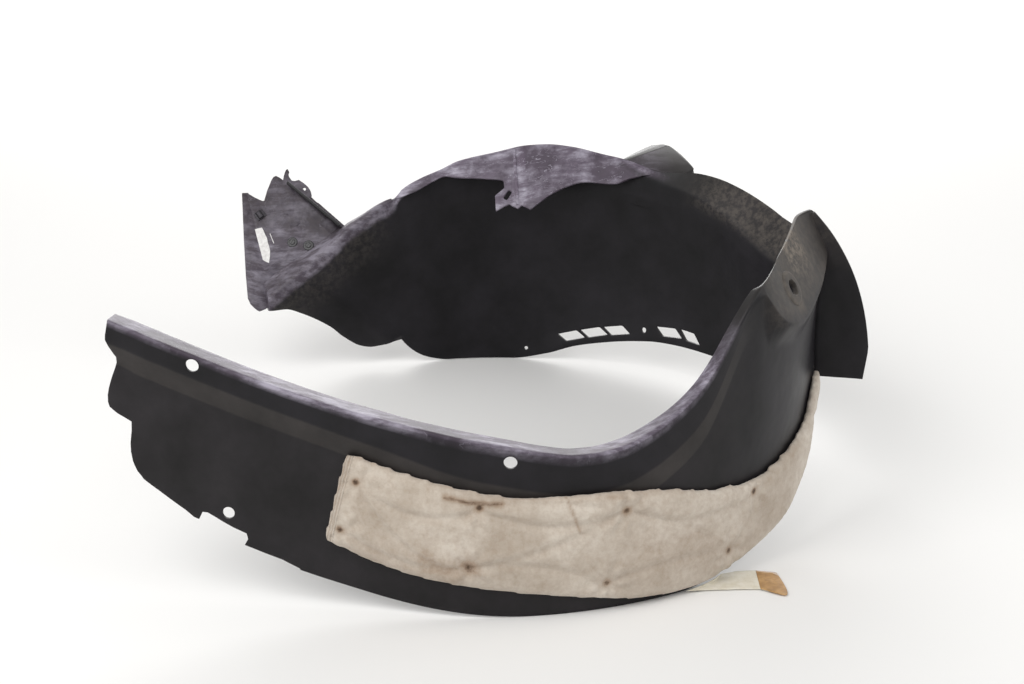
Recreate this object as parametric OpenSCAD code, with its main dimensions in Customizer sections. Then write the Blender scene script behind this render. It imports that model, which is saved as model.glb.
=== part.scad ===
// Front wheel arch liner: one moulded sheet that lies on its side, wheel axis up, open end to the left

/* [Arch plan] */
// Radius of the arch wall, to its outer face
arch_r = 372; // [366:1:378]
// Length of the straight near limb
near_len = 315; // [305:1:325]
// Angle by which the near limb closes inward
near_in = 8; // [6:1:10]
// Length of the straight far limb
far_len = 185; // [180:1:195]
// Angle by which the far limb closes inward
far_in = 20; // [18:1:22]
// Thickness of the moulded sheet
sheet_t = 3; // [2.5:0.1:3.5]

/* [Heights] */
// Height of the lip at the near limb's end
near_end_h = 288; // [280:1:294]
// Height of the lip at its lowest
lip_low_h = 167; // [164:1:171]
// Height of the rim at the boss
boss_h = 329; // [325:1:334]
// Height of the rim round the crown
rim_h = 276; // [270:1:282]
// Height of the fold over the far limb
fold_h = 300; // [295:1:306]
// Height of the far limb's tip
tip_h = 110; // [106:1:116]
// Height of the lower edge under the vent windows
vent_edge_h = 48; // [42:1:54]
// Height of the lower edge at the fin
fin_edge_h = 132; // [126:1:140]

/* [Lip and hole band] */
// Width of the inward lip
lip_w = 24; // [20:1:27]
// Depth of the hole band below the lip, at the limb's end
band_h = 20; // [18:1:22]
// Depth of the step under the hole band
step_h = 25; // [22:1:28]
// Amount that the step sets the wall back
step_in = 9; // [6:1:11]
// Depth of the hem along the lower edge
hem_h = 34; // [30:1:38]
// Diameter of the two lip fixing holes
lip_hole_d = 13; // [10:0.5:14]
// Depth of the far fixing hole below the lip at the limb's end
lip_hole_far_drop = 40.6; // [40.4:0.1:42]
// Height of the near fixing hole above the floor
lip_hole_near_h = 163; // [159:1:165]
// Diameter of the hole in the lower tab
tab_hole_d = 12; // [9:1:14]

/* [Fold flange] */
// Length of the flange that hangs from the fold
flange_w = 104; // [98:1:110]
// Slope of that flange below level
flange_slope = 52; // [50:1:55]
// Height of the two ribs on the flange
rib_h = 3; // [2:0.5:4]
// Width of one rib
rib_w = 4; // [3:0.5:6]
// Width of the slot in the flange's tab
slot_w = 6; // [5:0.5:7]
// Length of the slot in the flange's tab
slot_len = 14; // [12:1:16]

/* [Vent windows] */
// Height of one window
window_h = 12; // [9:1:14]
// Lean of a window's sides along the wall
window_lean = 13; // [8:1:16]
// Diameter of the small fixing hole between the windows
vent_hole_d = 7; // [5:0.5:8]

/* [Boss and fin] */
// Depth of the boss's sloping facet
boss_w = 60; // [56:1:64]
// Depth of the skirt under the facet
skirt_h = 24; // [21:1:28]
// Diameter of the hole through the boss
boss_hole_d = 17; // [12:1:20]
// Outer diameter of the raised ring round the boss hole
boss_ring_d = 38; // [32:1:42]
// Height of the raised ring
boss_ring_h = 2; // [1:0.5:3]
// Reach of the fin beyond the arch wall
fin_reach = 46; // [41:1:50]
// Place of the fin, as an angle on the arch
fin_a = -12; // [-14:1:-10]

/* [End pocket] */
// Slope of the pocket's floor across its lower edge
pocket_slope = 50.4; // [48:0.2:53]
// Width of the rolled bead along the far limb's top
bead_w = 25; // [22:1:28]
// Diameter of the holes for the push rivets
rivet_hole_d = 7; // [6:0.5:8]
// Diameter of a push rivet's head
rivet_head_d = 14; // [12:1:15]
// Height of the flange along the pocket's right side
pocket_flange_h = 12; // [9:1:15]
// Width of the sealing strip
seal_t = 4.6; // [4.2:0.2:6]

/* [Felt pad] */
// Thickness of the felt pad
pad_t = 12; // [10:1:15]
// Clearance of the pad off the moulding
pad_gap = 0.5; // [0.3:0.1:0.8]
// Diameter of a moulded stake through the pad
stake_d = 6; // [5:0.5:7]
// Diameter of a stake's flattened head
stake_head_d = 13; // [11:1:15]
// Depth of the dimple over a stake
dimple_h = 6; // [4:0.5:7]

/* [Hidden] */

near_a = -90 - near_in;
far_a = 90 + far_in;
arc_len = arch_r * (far_a - near_a) * PI / 180;
front_reach = arch_r + pad_gap + pad_t;
pocket_back = 118.2;
back_reach = arch_r * cos(far_in) - far_len * sin(far_in) + pocket_back;
flap_len = 5.6;
left_reach = (arch_r - step_in) * sin(near_in) + (near_len + flap_len) * cos(near_in);
right_reach = (arch_r + fin_reach) * cos(fin_a);
arch_c = [(left_reach - right_reach) / 2, (front_reach - back_reach) / 2];

// Stations run along the arch: -1 to 0 on the near limb, 0 to 1 round the crown, 1 to 2 on the far limb
near_steps = 12;
arc_steps = 60;
far_steps = 8;
boss_stations = [0.2425, 0.2515, 0.2572, 0.2612, 0.2663, 0.2725, 0.2788, 0.29, 0.3, 0.3115, 0.323];
stations = concat(
    [-1.02],
    [for (i = [0 : near_steps - 1]) -1 + i / near_steps],
    [for (i = [0 : 14]) i / arc_steps],
    boss_stations,
    [for (i = [20 : 53]) i / arc_steps],
    [0.8925, 0.8975, 0.905],
    [for (i = [55 : arc_steps]) i / arc_steps],
    [for (i = [1 : far_steps]) 1 + i / far_steps]
);

// Guide lines: each is a list of [station, value], chosen by hand from the photo
top_line = [
    [-1, near_end_h + 1.3], [-0.865, near_end_h - 15], [-0.744, near_end_h - 29.4],
    [-0.563, near_end_h - 50], [-0.412, near_end_h - 65.3], [-0.261, near_end_h - 78.8],
    [-0.11, lip_low_h + 31.5], [-0.034, lip_low_h + 26.5], [0.01, lip_low_h + 21.7],
    [0.044, lip_low_h + 13.7], [0.079, lip_low_h + 4], [0.1, lip_low_h], [0.112, lip_low_h],
    [0.134, lip_low_h + 4], [0.157, lip_low_h + 15.4], [0.177, lip_low_h + 30.2],
    [0.195, lip_low_h + 47.6], [0.212, lip_low_h + 71.6], [0.227, lip_low_h + 97.6],
    [0.245, boss_h - 38], [0.257, boss_h - 27.6], [0.3125, boss_h - 18], [0.36, boss_h - 7],
    [0.385, boss_h - 3], [0.396, boss_h - 2], [0.4135, boss_h - 2.5], [0.44, rim_h + 7],
    [0.5, rim_h - 24], [0.56, rim_h - 36], [0.6, rim_h - 31], [0.62, rim_h - 24],
    [0.66, rim_h - 9.5], [0.68, rim_h - 4],
    [0.7, rim_h - 1], [0.74, rim_h + 2], [0.78, fold_h - 9], [0.8, fold_h - 5], [0.83, fold_h + 2],
    [0.85, fold_h + 4], [0.875, fold_h + 1.5], [0.905, fold_h - 8], [0.944, fold_h - 20.5],
    [0.959, fold_h - 30], [0.982, fold_h - 42], [1, fold_h - 55], [1.06, tip_h + 122],
    [1.2, tip_h + 108], [1.31, tip_h + 96], [1.39, tip_h + 87], [1.54, tip_h + 62],
    [1.76, tip_h + 33], [2, tip_h]
];
top_out = [
    [-1, 0], [0.235, 0], [0.245, -1], [0.2572, -4], [0.3125, -26.3], [0.36, -34], [0.385, -36],
    [0.396, -33.8], [0.4135, -25], [0.44, -5], [0.5, 8], [0.6, 26], [0.68, 22], [0.74, 8], [0.8, 0],
    [1, 0], [2, 0]
];
flange_out = [
    [-1, -0.93 * lip_w], [-0.93, -1.04 * lip_w], [-0.6, -lip_w], [-0.2, -0.96 * lip_w],
    [-0.1, -0.87 * lip_w], [0.01, -0.92 * lip_w], [0.1, -0.84 * lip_w], [0.134, -0.86 * lip_w],
    [0.157, -0.78 * lip_w], [0.18, -0.62 * lip_w], [0.2, -0.55 * lip_w], [0.235, -0.48 * lip_w],
    [0.2515, -0.36 * lip_w], [0.2572, -3], [0.2663, -2], [0.32, -1], [0.6, 2], [0.7, 2],
    [0.73, -2], [0.745, -5], [0.765, -15], [0.78, -0.23 * flange_w], [0.81, -0.29 * flange_w],
    [0.826, -0.37 * flange_w], [0.845, -0.47 * flange_w], [0.859, -0.56 * flange_w],
    [0.87, -flange_w * cos(flange_slope)], [0.8935, -flange_w * cos(flange_slope)],
    [0.8975, -0.315 * flange_w], [0.912, -0.265 * flange_w], [0.93, -0.21 * flange_w],
    [0.945, -0.16 * flange_w], [0.961, -9], [0.985, -10], [1.014, -7], [1.04, -3], [1.08, 1],
    [1.16, 0.22 * bead_w], [1.3, 0.85 * bead_w], [1.39, bead_w], [2, bead_w]
];
flange_rise = [
    [-1, -1], [0.235, -1], [0.2515, -1], [0.2663, -1], [0.32, 1], [0.6, 2], [0.7, 2], [0.73, -2],
    [0.745, -6], [0.765, -19], [0.78, -0.31 * flange_w], [0.81, -0.38 * flange_w],
    [0.826, -0.47 * flange_w], [0.845, -0.61 * flange_w], [0.859, -0.72 * flange_w],
    [0.87, -flange_w * sin(flange_slope)], [0.8935, -flange_w * sin(flange_slope)],
    [0.8975, -0.4 * flange_w], [0.912, -0.337 * flange_w], [0.93, -0.27 * flange_w],
    [0.945, -0.205 * flange_w], [0.961, -11], [0.985, -13], [1.014, -8], [1.04, -2], [1.08, 1],
    [1.16, -1], [1.3, -7], [1.39, -7], [1.46, -2], [1.59, 3], [1.71, 5], [1.85, 10], [2, 12]
];
fold_round = [
    [-1, 4], [0.2, 4], [0.5, 3], [0.74, 4], [0.8, 10], [0.85, 16], [0.9, 16], [0.95, 8], [1.05, 4],
    [1.2, 9], [2, 9]
];
band_line = [
    [-1, band_h + 2.6], [-0.44, band_h + 4.3], [-0.23, band_h + 7.4], [0.04, band_h + 20],
    [0.2, band_h + 18], [0.225, band_h + 3], [0.2425, 8],
    [0.2572, 0.14 * boss_w], [0.2612, 0.3 * boss_w], [0.2663, 0.53 * boss_w], [0.2788, 0.8 * boss_w],
    [0.3115, 0.99 * boss_w], [0.35, boss_w], [0.3875, 0.94 * boss_w], [0.4135, 0.7 * boss_w],
    [0.44, band_h + 10], [0.5, band_h + 14], [0.6, band_h + 20], [0.68, band_h + 4], [0.74, band_h - 4],
    [0.84, band_h + 26], [0.92, band_h + 16], [1, band_h], [1.5, band_h - 4], [2, 3]
];
band_out = [
    [-1, -1], [0.235, -1], [0.2572, 1], [0.2612, 5], [0.2663, 10.5], [0.2788, 14], [0.3115, 8.3],
    [0.35, 0.9],
    [0.3875, -2.8], [0.4135, -4], [0.44, -2], [0.5, 0], [0.68, 0], [0.85, 4], [1, 1], [2, 0]
];
step_line = [
    [-1, step_h - 2], [-0.91, step_h + 1], [-0.2, step_h], [0.1, step_h + 1], [0.225, step_h + 2],
    [0.2425, skirt_h + 6], [0.2612, skirt_h + 9],
    [0.2788, skirt_h], [0.3115, skirt_h - 4], [0.3356, skirt_h - 14], [0.3505, skirt_h - 17],
    [0.3875, skirt_h - 17], [0.4135, skirt_h - 12], [0.5, step_h], [0.7, step_h - 4], [1, step_h - 4],
    [1.6, 14], [2, 2]
];
step_out = [
    [-1, -step_in], [-0.35, -step_in], [-0.05, -4], [0.1, -2], [0.235, -2], [0.2612, 0], [0.34, -1],
    [0.3875, -8], [0.45, -9], [0.6, -3], [0.8, 0], [0.9, 4], [1, 2], [2, 0]
];
bulge_line = [
    [-1, 4], [-0.4, 4], [0.1, 2], [0.25, 1], [0.36, -3], [0.42, -3], [0.6, 0], [0.85, 8], [1, 6],
    [1.6, 1], [2, 0]
];
hem_line = [
    [-1, hem_h], [0, hem_h], [0.15, hem_h - 14], [0.3, hem_h - 16], [0.5, hem_h - 12], [0.66, hem_h - 2],
    [0.8, hem_h - 2], [0.9, hem_h - 14], [0.99, hem_h - 20], [1.07, 4], [1.11, 4], [1.166, 17],
    [1.3, hem_h + 3], [1.42, hem_h + 7], [1.64, hem_h + 6], [1.74, hem_h + 2], [1.88, 14], [2, 3]
];
hem_out = [
    [-1, -step_in], [-0.35, -step_in], [0, -3], [0.3, -3], [0.4, -11], [0.45, -10], [0.55, -2], [0.66, 2],
    [0.9, 2], [1, 2], [2, 0]
];
edge_out = [
    [-1, -4], [-0.35, -4], [0, -1], [0.15, -3], [0.22, -3], [0.3, -4], [0.34, -7], [0.4, -15],
    [0.45, -14], [0.55, -5], [0.68, -6], [0.8, -6], [0.9, -2], [0.99, -2], [1.08, 0], [1.2, 8],
    [1.8, 8], [2, 0]
];
edge_line = [
    [-1, 80], [-0.7, 72], [-0.6, 54], [-0.49, 44], [-0.435, 38], [-0.278, 24], [-0.12, 12.5], [0, 6.5],
    [0.044, 1], [0.073, 0.1], [0.187, 0.1], [0.2, 1.5], [0.225, 7], [0.25, 14], [0.265, 19],
    [0.28, 25], [0.3, 33], [0.316, 0.34 * fin_edge_h], [0.334, 0.45 * fin_edge_h],
    [0.347, 0.6 * fin_edge_h], [0.36, 0.78 * fin_edge_h], [0.4, fin_edge_h - 6], [0.44, fin_edge_h - 4],
    [0.5, 0.8 * fin_edge_h], [0.58, vent_edge_h + 20], [0.64, vent_edge_h + 3], [0.7, vent_edge_h + 2],
    [0.73, vent_edge_h], [0.757, vent_edge_h - 5], [0.795, vent_edge_h - 15], [0.825, vent_edge_h - 25],
    [0.854, 9], [0.89, 0.1], [0.955, 0.1], [0.975, 5], [1, 28], [1.01, 35], [1.06, 33], [1.24, 27],
    [1.32, 30],
    [1.467, 48], [1.546, 62], [1.76, 86], [1.88, 95], [2, tip_h - 14]
];
pad_top_line = [
    [-0.282, 168], [-0.06, 148], [0.014, 140], [0.053, 131], [0.113, 130], [0.162, 123], [0.22, 106],
    [0.25, 103], [0.29, 109], [0.32, 119], [0.345, 128], [0.37, 148], [0.4, 160]
];
pad_low_line = [
    [-0.361, 72], [-0.19, 50], [-0.03, 38], [0.085, 20], [0.113, 13.5], [0.149, 5.5], [0.175, 3],
    [0.2, 3.2], [0.215, 6.2], [0.23, 10.5], [0.246, 15.5], [0.264, 21.5], [0.281, 28.5], [0.3, 37],
    [0.316, 0.385 * fin_edge_h], [0.334, 0.5 * fin_edge_h], [0.347, 0.65 * fin_edge_h],
    [0.36, 0.83 * fin_edge_h], [0.375, 0.93 * fin_edge_h], [0.4, fin_edge_h]
];

// Smooth curve through the guide points, measured by length along the arch
function run_len(t) = t < 0 ? t * near_len : t > 1 ? arc_len + (t - 1) * far_len : t * arc_len;
function span(c, t, i = 0) = i >= len(c) - 2 || t < c[i + 1][0] ? i : span(c, t, i + 1);
function run_slope(c, i) = (c[i + 1][1] - c[i][1]) / (run_len(c[i + 1][0]) - run_len(c[i][0]));
function knot_slope(c, i) =
    i == 0 ? run_slope(c, 0) :
    i == len(c) - 1 ? run_slope(c, i - 1) :
    run_slope(c, i - 1) * run_slope(c, i) <= 0 ? 0 :
    2 * run_slope(c, i - 1) * run_slope(c, i) / (run_slope(c, i - 1) + run_slope(c, i));
function along(c, t) =
    let (i = span(c, t), d = run_len(c[i + 1][0]) - run_len(c[i][0]))
    let (u = min(max((run_len(t) - run_len(c[i][0])) / d, 0), 1))
    let (m = knot_slope(c, i) * d, n = knot_slope(c, i + 1) * d)
    (2 * u ^ 3 - 3 * u ^ 2 + 1) * c[i][1] + (u ^ 3 - 2 * u ^ 2 + u) * m
        + (3 * u ^ 2 - 2 * u ^ 3) * c[i + 1][1] + (u ^ 3 - u ^ 2) * n;

// Plan of the arch: a point at station t, out from the wall's outer face, at height z
function turn_at(t) = near_a + (far_a - near_a) * min(max(t, 0), 1);
function run_at(t) = t < 0 ? t * near_len : t > 1 ? (t - 1) * far_len : 0;
function place(t, out, z) =
    let (a = turn_at(t))
    [
        arch_c[0] + (arch_r + out) * cos(a) - run_at(t) * sin(a),
        arch_c[1] + (arch_r + out) * sin(a) + run_at(t) * cos(a),
        z
    ];
function polar(a, out, z) = [arch_c[0] + (arch_r + out) * cos(a), arch_c[1] + (arch_r + out) * sin(a), z];
function station_of(a) = (a - near_a) / (far_a - near_a);

// Section of the sheet at a station, from the flange's free edge down to the lower edge
function mix(p, q, u) = p + (q - p) * u;
function bend(p, c, q, u) = mix(mix(p, c, u), mix(c, q, u), u);
function top_z(t) = along(top_line, t) + 0.4 * max(along(fold_round, t) - 4, 0);
function section(t) =
    let (top = [along(top_out, t), top_z(t)])
    let (free = top + [along(flange_out, t), along(flange_rise, t)])
    let (crease = [along(band_out, t), top[1] - along(band_line, t)])
    let (foot = [along(step_out, t), crease[1] - along(step_line, t)])
    let (edge = [along(edge_out, t), along(edge_line, t)])
    let (hem = [along(hem_out, t), edge[1] + along(hem_line, t)])
    let (r1 = min(along(fold_round, t), 0.6 * norm(free - top)) / norm(free - top))
    let (r2 = min(along(fold_round, t), 0.6 * norm(crease - top)) / norm(crease - top))
    let (f1 = mix(top, free, r1), f2 = mix(top, crease, r2), b = along(bulge_line, t))
    concat(
        [free],
        [for (u = [0 : 1 / 3 : 1]) bend(f1, top, f2, u)],
        [crease, foot],
        [for (u = [1 / 4 : 1 / 4 : 3 / 4]) mix(foot, hem, u) + [b * 4 * u * (1 - u), 0]],
        [hem, edge]
    );

// How far out the wall's outer face lies at station t and height z
function wall_row(s, z, i = 4) = i >= len(s) - 2 || s[i + 1][1] <= z ? i : wall_row(s, z, i + 1);
function wall_out(t, z) =
    let (s = section(t), i = wall_row(s, z))
    mix(s[i], s[i + 1], (s[i][1] - z) / (s[i][1] - s[i + 1][1]))[0];

// Outward direction at each point of a section, lengthened at the folds to keep the sheet's thickness
function side(p, q) = let (d = (q - p) / norm(q - p)) [-d[1], d[0]];
function out_dir(s, i) =
    let (a = side(s[max(i - 1, 0)], s[max(i, 1)]))
    let (b = side(s[min(i, len(s) - 2)], s[min(i + 1, len(s) - 1)]))
    let (c = (a + b) / norm(a + b)) c / max(c * a, 0.6);
function shift_out(s, d) = [for (i = [0 : len(s) - 1]) s[i] + d * out_dir(s, i)];

// Closed skin through rings of points that all have the same count
module skin(rings) {
    n = len(rings[0]);
    k = len(rings);
    points = [for (r = rings) each r];
    walls = [
        for (i = [0 : k - 2], j = [0 : n - 1])
        let (a = i * n + j, b = i * n + (j + 1) % n)
        each [[a, b + n, b], [a, a + n, b + n]]
    ];
    half = n / 2;
    caps = [
        for (j = [0 : half - 2])
        let (e = (k - 1) * n, p = j, q = j + 1, r = n - 2 - j, s = n - 1 - j)
        each [[p, q, r], [p, r, s], [e + p, e + r, e + q], [e + p, e + s, e + r]]
    ];
    polyhedron(points, concat(walls, caps));
}

function flip(s) = [for (i = [len(s) - 1 : -1 : 0]) s[i]];
function ring(t, s, lo, hi) =
    [for (p = concat(shift_out(s, hi), flip(shift_out(s, lo)))) place(t, p[0], p[1])];

// Local frames on the moulding
module near_frame() {
    translate([arch_c[0] + arch_r * cos(near_a), arch_c[1] + arch_r * sin(near_a), 0])
        rotate([0, 0, 180 - near_in])
        children();
}

module far_frame() {
    tip = place(2, 0, 0);
    translate(tip) rotate([0, 0, far_in]) children();
}

module arch_frame(a) {
    translate([arch_c[0], arch_c[1], 0]) rotate([0, 0, a]) children();
}

module flange_frame() {
    t = 0.89;
    arch_frame(turn_at(t))
        translate([arch_r, 0, top_z(t)])
        rotate([0, 180 - flange_slope, 0])
        children();
}

module boss_frame() {
    translate(polar(-34.1, -8.3, boss_h - 46.8)) rotate([0, 60, -26]) children();
}

module pocket_frame() {
    far_frame()
        translate([8.4, bead_w, tip_h + 17])
        rotate([0, -32.1, 0])
        rotate([pocket_slope, 0, 0])
        children();
}

module pocket_end_frame() {
    far_frame()
        translate([8.4, bead_w, tip_h + 17])
        rotate([0, -53.2, 97])
        rotate([-11.1, 0, 0])
        children();
}

// Cut through the wall at an angle on the arch, with the outline drawn along the wall and up
module wall_cut(a, z) {
    arch_frame(a)
        translate([arch_r - 22, 0, z])
        rotate([90, 0, 90])
        linear_extrude(44)
        children();
}

module round_cut(a, z, d) {
    arch_frame(a)
        translate([arch_r - 22, 0, z])
        rotate([0, 90, 0])
        cylinder(d = d, h = 44, $fn = 32);
}

// Moulded sheet, before its openings
module moulded_sheet() {
    skin([for (t = stations) ring(t, section(t), -sheet_t, 0)]);
}

// Outline that trims the near limb's end
module near_end_cut() {
    near_frame()
        translate([0, 14, 0])
        rotate([90, 0, 0])
        linear_extrude(44)
        polygon([
            [340, 300], [313.4, 300], [313.4, 286], [316.3, 274], [316.8, 269], [311.2, 253], [309.4, 250],
            [315, 230], [320.6, 211], [319.5, 199], [298.6, 185], [301.3, 163], [300.7, 144],
            [292, 124], [280, 114], [251, 94], [238, 85.5], [234.5, 93], [221.5, 88.5],
            [203, 78], [191, 72.5], [193, 61], [156, 48], [138, 39.5], [138, -20], [340, -20]
        ]);
}

// Middle of the wall at the two lip holes, which run square to the line between them
lip_far_x = 233;
lip_near_x = -68.9;
function lip_far_at() =
    let (z = near_end_h - lip_hole_far_drop)
    [lip_far_x, wall_out(-lip_far_x / near_len, z) - sheet_t / 2, z];
function lip_near_at() =
    let (z = lip_hole_near_h, t = asin(-lip_near_x / arch_r) / (far_a - near_a))
    let (r = arch_r + wall_out(t, z) - sheet_t / 2)
    [lip_near_x, sqrt(r ^ 2 - lip_near_x ^ 2) - arch_r, z];
function lip_turn() = let (d = lip_far_at() - lip_near_at()) atan(d[1] / d[0]);

module lip_hole_cuts() {
    for (p = [lip_far_at(), lip_near_at()])
        near_frame()
        translate(p)
        rotate([-90, 0, lip_turn()])
        cylinder(d = lip_hole_d, h = 24, center = true, $fn = 40);
}

module tab_hole_cut() {
    near_frame()
        translate([208.5, -24, 93])
        rotate([-90, 0, 0])
        cylinder(d = tab_hole_d, h = 40, $fn = 32);
}

// Leaning vent windows along the crown's lower edge
module window_cuts() {
    windows = [
        [0.828, 27, -0.3], [0.804, 28, -0.27], [0.7795, 28, -0.22], [0.7205, 31, -0.11], [0.695, 24, 0.04]
    ];
    for (w = windows)
        wall_cut(turn_at(w[0]), along(edge_line, w[0]) + 15.5)
        polygon([
            for (p = [
                [-(w[1] + window_lean) / 2, -window_h / 2],
                [(w[1] - window_lean) / 2, -window_h / 2],
                [(w[1] + window_lean) / 2, window_h / 2],
                [-(w[1] - window_lean) / 2, window_h / 2]
            ])
            [p[0], p[1] + w[2] * p[0]]
        ]);
}

module vent_hole_cuts() {
    round_cut(turn_at(0.7494), vent_edge_h + 12, vent_hole_d);
    round_cut(turn_at(0.875), 15, 0.7 * vent_hole_d);
}

// Side fin on the crown
module fin() {
    t = station_of(fin_a);
    top = top_z(t);
    low = fin_edge_h + 8;
    inner = [for (i = [0 : 8]) let (z = mix(low, top - 2, i / 8)) [wall_out(t, z) - 0.5 * sheet_t, z]];
    curve = [
        for (i = [0 : 10]) bend([-21, top], [0.8 * fin_reach, top - 58], [fin_reach, top - 152], i / 10)
    ];
    arch_frame(fin_a)
        translate([arch_r, 0, 0])
        rotate([90, 0, 0])
        linear_extrude(sheet_t, center = true)
        polygon(concat(inner, curve, [[fin_reach - 4, low]]));
}

// Hollow blister behind the crown's fold
function rim_out(a) = along(top_out, station_of(a)) - 2.5;

module blister_body(e, reach) {
    h = fold_h - e;
    points = [
        polar(61.3 - e / 10, 60 - e, h - 2), polar(58.6, 60 - e, h + 2),
        polar(63.9 - e / 6, 60 - e, h - 12),
        polar(55.4 + e / 6, 60 - e, h - 14), polar(65.5 - e / 6, 40, h - 19),
        polar(50.8 + e / 5, 40, h - 23),
        polar(65 - e / 6, rim_out(65) + 2 * e, h - 16),
        polar(52 + e / 6, rim_out(52) + 2 * e, h - 29),
        polar(58.5, rim_out(58.5) + 2 * e, h - 23),
        polar(63 - e / 6, 56 - e, fold_h - 38 - reach), polar(55 + e / 6, 56 - e, fold_h - 44 - reach),
        polar(64 - e / 6, e - 1, fold_h - 72 - reach), polar(53 + e / 6, e - 1, fold_h - 78 - reach)
    ];
    hull() for (p = points) translate(p) cube(0.2, center = true);
}

module blister() {
    difference() {
        blister_body(0, 0);
        blister_body(sheet_t, 14);
    }
}

// Tab with the slot, and the two ribs, on the hanging flange
module flange_tab() {
    flange_frame()
        linear_extrude(sheet_t)
        polygon([
            [48, -6], [54, 7], [66, 8], [77, 19.7], [98.7, 17.7], [88.5, 1], [0.88 * flange_w, -6]
        ]);
    flange_frame()
        translate([11, -5.2, -rib_h])
        rotate([0, 0, -5.4])
        cube([80, rib_w, rib_h + 1.5]);
    flange_frame()
        translate([22, -18.7, -rib_h])
        rotate([0, 0, -8.5])
        cube([74, rib_w, rib_h + 1.5]);
}

module flange_trim() {
    flange_frame()
        translate([0, 0, -6])
        linear_extrude(16)
        polygon([[88.5, 1], [98.7, 17.7], [125, 17.7], [125, -31], [100, -31], [91.1, -16.1], [95.4, -11]]);
}

module slot_cut() {
    flange_frame()
        translate([76, 3, -8])
        rotate([0, 0, 30])
        translate([-slot_len / 2, -slot_w / 2, 0])
        cube([slot_len, slot_w, 20]);
}

module boss_ring() {
    boss_frame() translate([0, 0, -3]) cylinder(d = boss_ring_d, h = 3 + boss_ring_h, $fn = 48);
}

module boss_hole_cut() {
    boss_frame() translate([0, 0, -24]) cylinder(d = boss_hole_d, h = 40, $fn = 40);
}

// Panels of the end pocket
module end_pocket() {
    pocket_frame()
        translate([0, 0, -sheet_t])
        linear_extrude(sheet_t)
        polygon([
            [-1, -4], [-1, 4], [46, 121], [55, 102], [59, 97], [84, 115], [92, 116], [96, 105], [105, 113],
            [110, 114], [105, 104], [105, 97], [108, 94], [113, 92], [117, 76], [114, 64], [110, 60],
            [113, 53], [115, 49], [124, 2], [124, -4]
        ]);
    pocket_end_frame()
        translate([0, 0, -sheet_t])
        linear_extrude(sheet_t)
        polygon([
            [130.7, 6.5], [99.7, 12.6], [66.1, 19.3], [41, 23.9], [16.1, 28.5], [-15.6, 33.4],
            [-29.5, 28.7], [-36.5, 22.3], [-31.5, 7], [-4, -2], [129.3, -2]
        ]);
    pocket_frame()
        translate([99, 95, -2])
        rotate([0, 0, -77.6])
        translate([0, -2, 0])
        cube([96, 2, pocket_flange_h + 2]);
    far_frame()
        rotate([90, 0, 90])
        linear_extrude(sheet_t)
        polygon([
            [-sheet_t + 0.5, tip_h - 13], [-0.5, tip_h], [bead_w, tip_h + 12], [bead_w + 1, tip_h + 15],
            [bead_w + 1, tip_h - 2], [12, tip_h - 14], [4, tip_h - 16]
        ]);
}

module rivet_places() {
    for (p = [[55.5, 26], [70, 9]])
        pocket_frame() translate([p[0], p[1], 0]) children();
}

// Stakes moulded on the wall, which hold the pad
near_stakes = [[78, 139], [95, 88]];
arch_stakes = [[-91.8, 120], [-93.4, 59], [-70.1, 107], [-73, 33], [-46.2, 90], [-51.2, 34]];

module stake_places() {
    for (p = near_stakes)
        near_frame()
        translate([p[0], wall_out(-p[0] / near_len, p[1]), p[1]])
        rotate([-90, 0, 0])
        children();
    for (p = arch_stakes)
        arch_frame(p[0])
        translate([arch_r + wall_out(station_of(p[0]), p[1]), 0, p[1]])
        rotate([0, 90, 0])
        children();
}

module stakes() {
    head_z = pad_gap + pad_t - dimple_h + 0.4;
    stake_places() {
        translate([0, 0, -1.5]) cylinder(d = stake_d, h = head_z + 2, $fn = 20);
    }
    stake_places() {
        translate([0, 0, head_z]) cylinder(d = stake_head_d, h = 1.5, $fn = 28);
    }
}

// Everything on the moulding but its round holes, kept as it is and made in one mesh
module shell_form() {
    resize([0, 0, 0])
    difference() {
        union() {
            moulded_sheet();
            boss_ring();
            fin();
            blister();
            flange_tab();
            end_pocket();
            stakes();
        }
        near_end_cut();
        window_cuts();
        flange_trim();
        slot_cut();
        pocket_frame() translate([38.5, 81.5, -12]) cube([8.6, 5.6, 20]);
        tab_hole_cut();
        vent_hole_cuts();
        boss_hole_cut();
        rivet_places() translate([0, 0, -12]) cylinder(d = rivet_hole_d, h = 20, $fn = 28);
        pocket_frame() translate([111, 77, -12]) cylinder(d = 5, h = 20, $fn = 24);
    }
}

module liner_shell() {
    color("dimgray")
    difference() {
        shell_form();
        lip_hole_cuts();
    }
}

// Felt pad, which follows the wall a hair's breadth off it
pad_left = [-0.282, -0.361];
pad_near = [1, 0.965, 0.88, 0.75, 0.6, 0.45, 0.3, 0.15];
pad_stations = [for (t = stations) if (t >= 0 && t <= 0.4001) t];

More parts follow.
